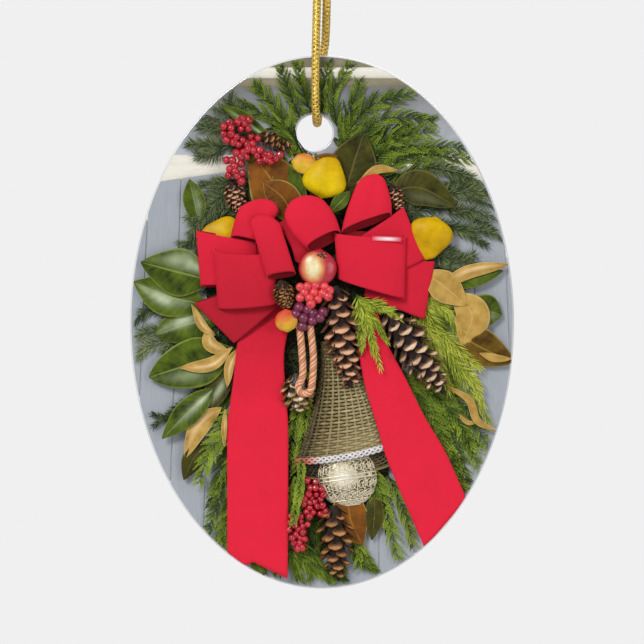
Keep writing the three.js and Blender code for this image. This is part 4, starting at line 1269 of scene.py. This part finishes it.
def add_berries():
    rng = np.random.default_rng(61)

    def cluster(node, kind, lines, radius, level, width):
        """Berries scattered beside the given lines, none closer than apart."""
        tries, apart = 900, 1.32 * radius
        parts = Parts()
        placed = []
        for line in lines:
            path = spline(along(node, *line), 60)
            for _ in range(tries):
                spot = path[rng.integers(len(path))] + rng.uniform(-width, width, 2)
                if not inside(*spot, radius):
                    continue
                if all(np.linalg.norm(spot - other) > apart for other in placed):
                    placed.append(spot)
        for spot in placed:
            size = radius * rng.uniform(0.88, 1.1)
            height = level + rng.uniform(0, 0.8)
            eye = (rng.uniform(-1, 1), rng.uniform(-1, 0.6), 0.9)
            berry(parts, (*spot, height), size, eye, rng.uniform(0, 0.35))
            stalk = [(*spot, height), (*(spot + rng.uniform(-0.6, 0.6, 2)), level - 0.9)]
            parts.add(*tube(stalk, 0.1, 5), 0.9)
        parts.piece(node + "_cluster", kind, [node])

    cluster("berries_red_upper", "red_berry",
            ((0.09, 0.73, 0.28, 0.89, 0.47, 0.84), (0.15, 0.62, 0.38, 0.51, 0.58, 0.57),
             (0.3, 0.51, 0.4, 0.28, 0.64, 0.33), (0.68, 0.26, 0.81, 0.17, 0.94, 0.17),
             (0.38, 0.28, 0.25, 0.06, 0.21, -0.17), (0.17, 0.12, 0.28, -0.1, 0.34, -0.24)), 0.74, 2.5, 0.9)
    cluster("berries_red_lower", "red_berry",
            ((0.57, 1.03, 0.66, 0.82, 0.93, 0.58), (0.48, 0.74, 0.42, 0.48, 0.27, 0.19),
             (0.06, 0.48, 0.09, 0.22, 0.27, 0.03), (0.81, 0.87, 0.78, 0.74, 0.72, 0.6)), 0.68, 1.9, 0.8)

    def group(node, kind, radius, level, *places):
        """Berries at given places."""
        parts = Parts()
        for place in along(node, *places):
            centre = (*place, level + rng.uniform(-0.2, 0.15))
            size = radius * rng.uniform(0.95, 1.08)
            eye = (rng.uniform(-0.6, 0.6), rng.uniform(-1.2, -0.2), 1)
            berry(parts, centre, size, eye, rng.uniform(0, 0.3))
        parts.piece(node + "_cluster", kind, [node])

    group("berries_coral", "coral_berry", 0.86, 5.35, 0.14, 1, 0.32, 1.02, 0.54, 1.05, 0.77, 1.02, 0.25,
          0.75, 0.5, 0.76, 0.72, 0.72, 0.14, 0.52, 0.38, 0.5, 0.6, 0.46, 0.42, 0.24, 0.9, 0.84, 0.86, 0.58)
    group("berries_purple", "purple_berry", 1.0, 5.1, 0, 0.9, -0.11, 0.65, 0.15, 0.5, 0.47, 0.67, 0.8, 0.73,
          0.11, 0.19, 0.44, 0.4, 0.29, 0.81, 0.69, 0.52)


# ---------------------------------------------------------------- pine cones

CONE_PROFILE = (0.35, 0.8, 1.0, 1.0, 0.92, 0.75, 0.5, 0.2)  # radii from base to tip, for a radius of 1


def cone(name, base, tip, width, level, kind, scales, scale, nodes=(), flatten=0.5, open_out=0.65, seed=0):
    """A pine cone: scales in a spiral round a tapered core, each cupped and pale at its end."""
    rng = np.random.default_rng(seed)
    axis = tip - base
    along_axis = axis / np.linalg.norm(axis)
    beside = np.array([-along_axis[1], along_axis[0]])
    parts = Parts()
    core = [0.55 * width / 2 * p for p in CONE_PROFILE]
    points, faces, _ = lathe(base, tip, core, level, flatten)
    # The core is nearly black: painted shade between the scales.
    parts.add(points, faces, 0.0)
    golden = math.pi * (3 - math.sqrt(5))
    rows, columns = 7, 7
    s, v = np.meshgrid(np.linspace(0, 1, rows), np.linspace(-1, 1, columns), indexing="ij")
    shape = np.sqrt(np.clip(s * 2.2, 0, 1)) * (1 - np.clip((s - 0.55) / 0.45, 0, 1) ** 2.4 * 0.85)
    # A scale's upper and lower skin and the wall round them
    faces = turned_over(grid_faces(rows, columns))
    count = rows * columns
    back = [tuple(i + count for i in face[::-1]) for face in faces]
    grid = np.arange(count).reshape(rows, columns)
    rim = [int(i) for i in (*grid[0], *grid[1:, -1], *grid[-1, -2::-1], *grid[-2:0:-1, 0])]
    wall = [(b, a, a + count, b + count) for a, b in zip(rim, rim[1:] + rim[:1])]
    for k in range(scales):
        t = (k + 0.5) / scales
        turn = k * golden
        if math.sin(turn) < -0.35:  # behind the core
            continue
        around = np.interp(t, np.linspace(0, 1, len(CONE_PROFILE)), CONE_PROFILE)
        radius = 0.42 * width / 2 * around
        size = scale * (0.55 + 0.45 * around) * rng.uniform(0.92, 1.08)
        outward = np.array([*(beside * math.cos(turn)), math.sin(turn) * flatten])
        sideways = np.array([*(-beside * math.sin(turn)), math.cos(turn) * 0.8])
        forward = np.array([*along_axis, 0.0])
        root = np.array([*(base + axis * (0.02 + 0.9 * t)), level]) + outward * radius
        spread = outward * (1.0 if abs(math.cos(turn)) > 0.7 else 0.55)
        lean = forward * 0.7 + spread * open_out * (1.15 - 0.5 * t)
        cup = outward * (0.2 * size * v**2)[..., None] + outward * (0.04 * size * s**2)[..., None]
        sheet = root + lean * (size * s)[..., None] + cup
        sheet += sideways * (0.52 * size * shape * v)[..., None]
        sheet[..., 2] = np.maximum(sheet[..., 2], 1.0)
        top = sheet.reshape(-1, 3)
        under = top - outward * 0.16 - forward * 0.05
        pale = np.clip((s - 0.42) / 0.2, 0, 1) * np.clip(1.35 - np.abs(v) * 0.6, 0, 1)
        pale = 0.12 + 0.88 * np.clip(pale, 0, 1) * rng.uniform(0.7, 1.0)
        # Each scale's underside is darker: painted shade.
        tone = np.concatenate([pale.ravel(), 0.4 * pale.ravel()])
        parts.add(np.vstack([top, under]), faces + back + wall, tone)
    parts.piece(name, kind, nodes)


# Name, node that its base and tip are measured in, those, width, depth, kind, number and size of scales,
# and other looks
CONES = (
    ("cone_centre_scales", "cone_centre", (0.29, 1.03, 0.7, -0.03), 7.0, 3.9, "cone", 52, 2.9, {}),
    ("cone_right_scales", "cone_right", (0.01, 1.1, 0.96, -0.03), 7.4, 3.7, "cone_light", 50, 2.9, {}),
    ("cone_bottom_scales", "cone_bottom", (0.43, 1.1, 0.54, -0.06), 6.4, 2.2, "cone_orange", 38, 2.5,
     dict(open_out=0.8)),
    ("cone_left_round_scales", "cone_left_round", (0.37, 1.1, 0.65, -0.1), 4.6, 5.0, "cone_orange", 60, 1.3,
     dict(flatten=0.4)),
    ("cone_gold_scales", "cone_gold_tipped", (0.42, 1.22, 0.5, -0.04), 7.0, 2.9, "cone_gold", 34, 2.3, {}),
    ("cone_small_left", "fir_left", (0.52, 0.44, 0.61, 0.25), 4.6, 1.9, "cone", 44, 1.5, {}),
    ("cone_small_right", "leaf_right_dark", (0, 0.76, 0.15, 0.09), 3.6, 2.2, "cone", 40, 1.2, {}),
    ("cone_dried_top", "berries_red_upper", (0.66, 0.66, 1.04, 0.44), 3.0, 1.6, "cone_orange", 24, 1.3, {}),
    ("cone_dried_low", "berries_red_upper", (0.91, 0.35, 1.23, 0.46), 2.2, 1.6, "cone_orange", 16, 1.1, {}),
)


def add_cones():
    for seed, (name, node, line, *shape, looks) in enumerate(CONES, 1):
        replaced = [node] if name.endswith("_scales") else []
        cone(name, *along(node, *line), *shape, replaced, seed=seed, **looks)


# ---------------------------------------------------------------- bell

BELL_TURNS = 36  # rows of cane
BELL_STAKES = 13


def bell_sides():
    """The bell's left and right edge lines, from its shoulder down to its rim."""
    left = spline(along("bell_wicker_body", 0.27, 0.98, 0.26, 0.74, 0.19, 0.47, 0.09, 0.21, -0.02, 0), 80)
    right = spline(along("bell_wicker_body", 0.54, 1, 0.7, 0.76, 0.84, 0.52, 0.95, 0.29, 1.02, 0.12), 80)
    return left, right


def bell_point(left, right, t, u, lift=0.0):
    """A point on the bell's bulging face, t down from its shoulder and u across from -1 to 1."""
    place = np.clip(t, 0, 1) * (len(left) - 1)
    i = np.minimum(place.astype(int), len(left) - 2)
    share = (place - i)[..., None]
    a = left[i] * (1 - share) + left[i + 1] * share
    b = right[i] * (1 - share) + right[i + 1] * share
    across = ((u + 1) / 2)[..., None]
    flat = a + (b - a) * across
    flat[..., 1] -= 0.6 * t * (1 - u**2)
    bulge = 1.5 + 1.5 * np.sqrt(np.clip(1 - u**2, 0, 1))
    return np.concatenate([flat, (bulge + lift)[..., None]], -1)


def add_bell():
    """Rows of cane woven round stakes, the braid round the rim, and the inside seen below it."""
    left, right = bell_sides()
    weave, sides = Parts(), 6
    across = np.linspace(-1, 1, 120)
    for row in range(BELL_TURNS):
        t = np.full(len(across), (row + 0.5) / BELL_TURNS)
        phase = BELL_STAKES * np.arcsin(across * 0.999) + (row % 2) * math.pi
        wave = np.sin(phase)
        line = bell_point(left, right, t, across, 0.12 * wave)
        # Painted light and shade: lighter to the right and where a strand rises, darker at the left edge;
        # the change from row to row is the cane's own.
        shade = 0.5 + 0.3 * np.clip(across + 0.4, -1, 0.6) + 0.12 * wave + 0.06 * (row % 3 - 1)
        shade -= 0.25 * np.clip((-0.6 - across) / 0.2, 0, 1)
        weave.add(*tube(line, 0.25, sides), np.clip(shade, 0.1, 1).repeat(sides))
    down = np.linspace(0, 1, 60)
    for stake in range(BELL_STAKES + 1):
        u = math.sin(math.pi * (stake / BELL_STAKES - 0.5)) * 0.98
        for beside in (-0.012, 0.012):
            line = bell_point(left, right, down, np.full(len(down), u + beside), 0.03)
            # The stakes on the left are painted darker, as shade.
            weave.add(*tube(line, 0.13, 5), 0.35 + 0.35 * (u > -0.5))
    rows, columns = 30, 24
    t, u = np.meshgrid(np.linspace(0, 1, rows), np.linspace(-1, 1, columns), indexing="ij")
    # A nearly black sheet behind the weave: painted shade in its gaps.
    weave.add(bell_point(left, right, t, u, -0.28).reshape(-1, 3), grid_faces(rows, columns), 0.0)
    weave.piece("bell_wicker", "wicker", ["bell_wicker_body"])

    rim, pitch, strands, sides = Parts(), 3.2, 3, 7
    mid = np.linspace(-1, 1, 260)
    base = bell_point(left, right, np.ones(len(mid)), mid, 0.3)
    ahead = np.gradient(base[:, :2], axis=0)
    beside = np.stack([-ahead[:, 1], ahead[:, 0]], 1) / np.linalg.norm(ahead, axis=1)[:, None]
    run = run_along(base[:, :2])
    reddish = np.repeat(np.clip((-0.45 - mid) / 0.3, 0, 1), sides)
    for strand in range(strands):
        phase = 2 * math.pi * (run / pitch + strand / strands)
        line = base.copy()
        line[:, :2] += beside * (0.46 * np.sin(phase))[:, None]
        line[:, 2] += 0.16 * np.cos(2 * phase)
        rim.add(*tube(line, 0.21, sides), reddish)
    rim.piece("bell_rim_braid", "rim", ["bell_twisted_rim"])

    # The bell's inside is painted dark as shade, a little less so on the right.
    mouth, count, rows = Parts(), 60, 7
    front = bell_point(left, right, np.ones(count), np.linspace(-1, 1, count))[:, :2]
    back = spline(along("bell_mouth", -0.01, 0.55, 0.04, 0.09, 0.19, -0.09, 0.47, -0.09,
                        0.75, 0.23, 0.96, 0.55, 0.9, 1.14), count)
    for row in range(rows):
        share = (row + 0.5) / rows
        line = np.column_stack([front * (1 - share) + back * share, np.full(count, 1.35 + 0.05 * row)])
        mouth.add(*tube(line, 0.24, 5), 0.06 + 0.14 * (line[:, 0] > 8).repeat(5))
    for column in range(4, count, 3):
        line = [(*(front[column] * (1 - s) + back[column] * s), 1.42 + 0.3 * s)
                for s in np.linspace(0, 1, 8)]
        mouth.add(*tube(line, 0.12, 5), 0.3)
    plate = np.concatenate([np.column_stack([edge, np.full(count, 1.3)]) for edge in (front, back)])
    mouth.add(plate, grid_faces(2, count), 0.0)
    mouth.add(*tube(np.column_stack([back, np.full(count, 1.75)]), 0.22, 6), 0.5)
    mouth.piece("bell_mouth_inside", "wicker", ["bell_mouth"])


def add_ball():
    """The clapper ball: an inner ball painted dark as shade between the wires and bright in its middle as a
    painted highlight, under rings, uprights and scrolls.
    """
    centre, radius, flatten, level = at("bell_clapper_ball", 0.5, 0.67), 5.7, 0.36, 1.15
    tilt = 0.14
    cos, sin = math.cos(tilt), math.sin(tilt)

    def on_ball(east, north, lift=0.0):
        east, north = np.broadcast_arrays(np.asarray(east, float), np.asarray(north, float))
        size = radius - 0.15 + lift
        x, z = size * np.cos(north) * np.sin(east), size * np.sin(north)
        y = size * np.cos(north) * np.cos(east)
        across, up = x * cos - z * sin, x * sin + z * cos
        return np.stack([centre[0] + across, centre[1] + up, level + y * flatten], -1)

    def painted_highlight(east, north):
        """The painted highlight: how bright the ball is painted at a place, most near its middle, up and
        left of it.
        """
        return np.exp(-((east + 0.15) ** 2 + (north - 0.05) ** 2) / 0.2)

    parts = Parts()
    quarters = np.linspace(-math.pi / 2, math.pi / 2, 70)
    east, north = np.meshgrid(quarters, quarters)
    pattern = np.cos(14 * east) * np.cos(16 * north) + 0.6 * np.cos(9 * north)
    pattern += 0.5 * np.cos(22 * east + 6 * north)
    # Inner ball: dark as painted shade, bright as a painted highlight near its middle.
    bright = painted_highlight(east, north)
    parts.add(on_ball(east, north, -0.2 + 0.06 * pattern * (1 - bright) + 0.14 * bright).reshape(-1, 3),
              turned_over(grid_faces(len(quarters), len(quarters))),
              np.clip(0.02 + 0.18 * pattern * (1 - bright) + 0.95 * bright, 0, 1).ravel())

    def add_wire(east, north, radius, sides):
        east, north = np.broadcast_arrays(east, north)
        # Wires are painted paler near the painted highlight.
        parts.add(*tube(on_ball(east, north), radius, sides),
                  (0.55 + 0.45 * painted_highlight(east, north)).repeat(sides))

    around = np.linspace(-1.5, 1.5, 120)
    for latitude in (-1.22, -0.86, -0.06, 0.06, 0.86, 1.22):
        add_wire(around, latitude, 0.13, 6)
    upright = np.linspace(-1.4, 1.4, 80)
    for longitude in np.linspace(-1.25, 1.25, 9):
        add_wire(longitude, upright, 0.08, 5)
    curl = np.linspace(0, 1, 30)
    for latitude in (-1.04, -0.66, -0.3, 0.3, 0.66, 1.04):
        for step, longitude in enumerate(np.linspace(-1.3, 1.3, 17)):
            hand = 1 if step % 2 else -1
            turn = hand * (1.3 + 7.2 * curl)
            reach = 0.165 * (1 - 0.75 * curl)
            stretch = 1 / max(0.35, math.cos(latitude))
            add_wire(longitude + reach * stretch * np.cos(turn), latitude + reach * np.sin(turn), 0.085, 5)
    parts.piece("ball_filigree", "filigree", ["bell_clapper_ball"])


def add_rope():
    """A hanging loop of nine twisted strands in coral, cream and olive."""
    route = [(*place, 4.1) for place in
             along("rope_loop", 0.28, 1.08, 0.37, 0.7, 0.41, 0.31, 0.24, 0.12, 0.39, 0.01, 0.7, 0.05,
                   0.8, 0.24, 0.83, 0.62, 0.7, 1.08)]
    line = spline(route, 260)
    across, up = frames_along(line)
    run = run_along(line)
    rope = Parts()
    lay, off_middle, radius = 3.0, 0.48, 0.21
    tones = (0.0, 0.45, 0.1, 0.6, 0.05, 0.9, 0.0, 0.5, 0.85)
    for strand, tone in enumerate(tones):
        phase = 2 * math.pi * (run / lay + strand / len(tones))
        offset = across * np.cos(phase)[:, None] + up * np.sin(phase)[:, None]
        rope.add(*tube(line + off_middle * offset, radius, 6), tone)
    rope.piece("rope_loop_strands", "rope", ["rope_loop"])


# ---------------------------------------------------------------- cord, knot and ends

def hung(points):
    """Millimetres from the top of the knot, as (x, y, z), turned into the picture's (x, z, d)."""
    points = np.asarray(points, float)
    return np.column_stack([points[:, 0] - MIDDLE.x / MM, points[:, 2] - MIDDLE.z / MM,
                            FACE_Y / MM - points[:, 1]])


def braided(line, radius, closed=False):
    """A braided cord's skin: two sets of crossing strands stand out of a tube."""
    pitch, strands, sides = 2.4, 6, 24
    turn, wind = circle(sides)[None], 2 * math.pi * run_along(line)[:, None] / pitch
    weave = np.maximum(np.cos(strands / 2 * (turn + wind)), np.cos(strands / 2 * (turn - wind)))
    height = radius * (0.9 + 0.1 * weave)
    points = (line[:, None] + rings_round(line, sides) * height[..., None]).reshape(-1, 3)
    if closed:
        faces = grid_faces(len(line), sides, wrap_rows=True, wrap_columns=True)
    else:
        faces = tube_faces(len(line), sides)
    # The tone is lowest where the strands dip, which the cord's colour turns into painted shade.
    return points, faces, np.clip(0.5 + 0.5 * weave, 0, 1).ravel()


def add_cord():
    """The cord hangs from its knot, goes down the disc's face, through the hole and back up behind."""
    radius, bend, turn_x, turn_z = 0.8, 3.5, -1.2, -26.4
    route = [(-0.88, 0, -4.7), (-0.9, -0.25, -6.2), (-1.0, -1.4, -10.4), (-1.1, -2.7, -14.8),
             (-1.15, -3.4, -16.9), (-1.2, -bend, -20.9), (-1.2, -bend, -24.9)]
    for share in np.linspace(0, 1, 9):
        turn = math.pi * share
        route.append((turn_x + 0.6 * share, -bend * math.cos(turn), turn_z - bend * math.sin(turn)))
    route += [(-0.5, bend, -24.9), (-0.1, bend, -20.9), (0.3, 3.4, -16.9), (0.6, 2.7, -14.8),
              (0.8, 1.4, -10.4), (0.88, 0.25, -6.2), (0.88, 0, -4.7)]
    path = spline(route, 420)
    points, faces, tone = braided(hung(path), radius)
    cord = add_piece("gold_cord_loop", points, faces, "gold_cord", ["hanging_cord"], "cord", tone=tone)

    t = np.linspace(0, 2 * math.pi, 220, endpoint=False)
    size, knot_z = 0.5, -1.85
    trefoil = np.stack([(np.sin(t) + 2 * np.sin(2 * t)) * size, -np.sin(3 * t) * size * 1.15,
                        knot_z + (np.cos(t) - 2 * np.cos(2 * t)) * size], 1)
    collar = np.stack([1.3 * np.cos(t), 0.62 * np.sin(t), np.full(len(t), -3.9)], 1)
    turns = Parts()
    for line, thickness in ((trefoil, 0.78), (collar, 0.62)):
        turns.add(*braided(hung(line), thickness, closed=True))
    knot = turns.piece("gold_cord_knot", "gold_cord", ["cord_knot"], body="knot")

    ends = Parts()
    for side in (-1, 1):
        tail = spline([(0.6 * side, 0, 0.05), (0.75 * side, 0, 1.6), (1.3 * side, 0, 3.6),
                       (1.85 * side, 0, 5.3)], 60)
        ends.add(*braided(hung(tail), 0.78))
    tails = ends.piece("gold_cord_ends", "gold_cord", ["cord_ends"], body="root")


# ---------------------------------------------------------------- camera, light and room

def add_camera():
    """Straight in front of the disc's middle, and far off, as the photograph shows no perspective."""
    data = bpy.data.cameras.new("camera")
    camera = bpy.data.objects.new("camera", data)
    bpy.context.scene.collection.objects.link(camera)
    distance, view_width = 1.5, 0.11835
    data.sensor_width = 36
    data.lens = data.sensor_width * distance / view_width
    data.clip_start = 0.1
    camera.location = (MIDDLE.x, FACE_Y - distance, MIDDLE.z)
    camera.rotation_euler = (math.pi / 2, 0, 0)
    bpy.context.scene.camera = camera


def add_area_light(name, place, size, power):
    """A round light that points at the disc's middle."""
    data = bpy.data.lights.new(name, "AREA")
    data.shape, data.size, data.energy = "DISK", size, power
    light = bpy.data.objects.new(name, data)
    bpy.context.scene.collection.objects.link(light)
    light.location = place
    light.rotation_euler = (MIDDLE - Vector(place)).to_track_quat("-Z", "Y").to_euler()


def add_room():
    """Pale surroundings, seen brighter than they light the object, and a small pale floor below it."""
    scene = bpy.context.scene
    scene.view_settings.view_transform = "Standard"
    world_shader = bpy.data.worlds.new("studio")
    scene.world = world_shader
    world_shader.use_nodes = True
    tree = world_shader.node_tree
    back = tree.nodes["Background"]
    seen = tree.nodes.new("ShaderNodeBackground")
    seen.inputs["Color"].default_value = (0.871, 0.871, 0.871, 1)
    back.inputs["Color"].default_value = (0.93, 0.96, 1.0, 1)
    back.inputs["Strength"].default_value = 0.42
    path = tree.nodes.new("ShaderNodeLightPath")
    blend = tree.nodes.new("ShaderNodeMixShader")
    tree.links.new(path.outputs["Is Camera Ray"], blend.inputs["Fac"])
    tree.links.new(back.outputs[0], blend.inputs[1])
    tree.links.new(seen.outputs[0], blend.inputs[2])
    tree.links.new(blend.outputs[0], tree.nodes["World Output"].inputs["Surface"])
    add_area_light("key", (-0.45, -0.75, 0.45), 0.35, 6.0)
    add_area_light("fill", (0.6, -0.6, 0.0), 0.5, 1.6)
    add_area_light("back", (0.2, 0.8, 0.4), 0.5, 3.0)

    drop, radius, corners = 0.022, 0.17, 96
    turn = np.linspace(0, 2 * math.pi, corners, endpoint=False)
    mesh = bpy.data.meshes.new("floor")
    edge = [(radius * math.cos(t), radius * math.sin(t), cad_low.z - drop) for t in turn]
    mesh.from_pydata(edge, [], [tuple(range(corners))])
    shader = Shader("floor_paper", (0.8, 0.8, 0.8), 0.9)
    mesh.materials.append(shader.material)
    floor = bpy.data.objects.new("floor", mesh)
    bpy.context.scene.collection.objects.link(floor)


add_camera()
add_cord()
add_room()
add_disc()
add_door()
add_bough_core()
add_fir()
add_cedar()
add_cypress()
add_leaves()
add_bow()
add_fruit()
add_berries()
add_cones()
add_bell()
add_ball()
add_rope()
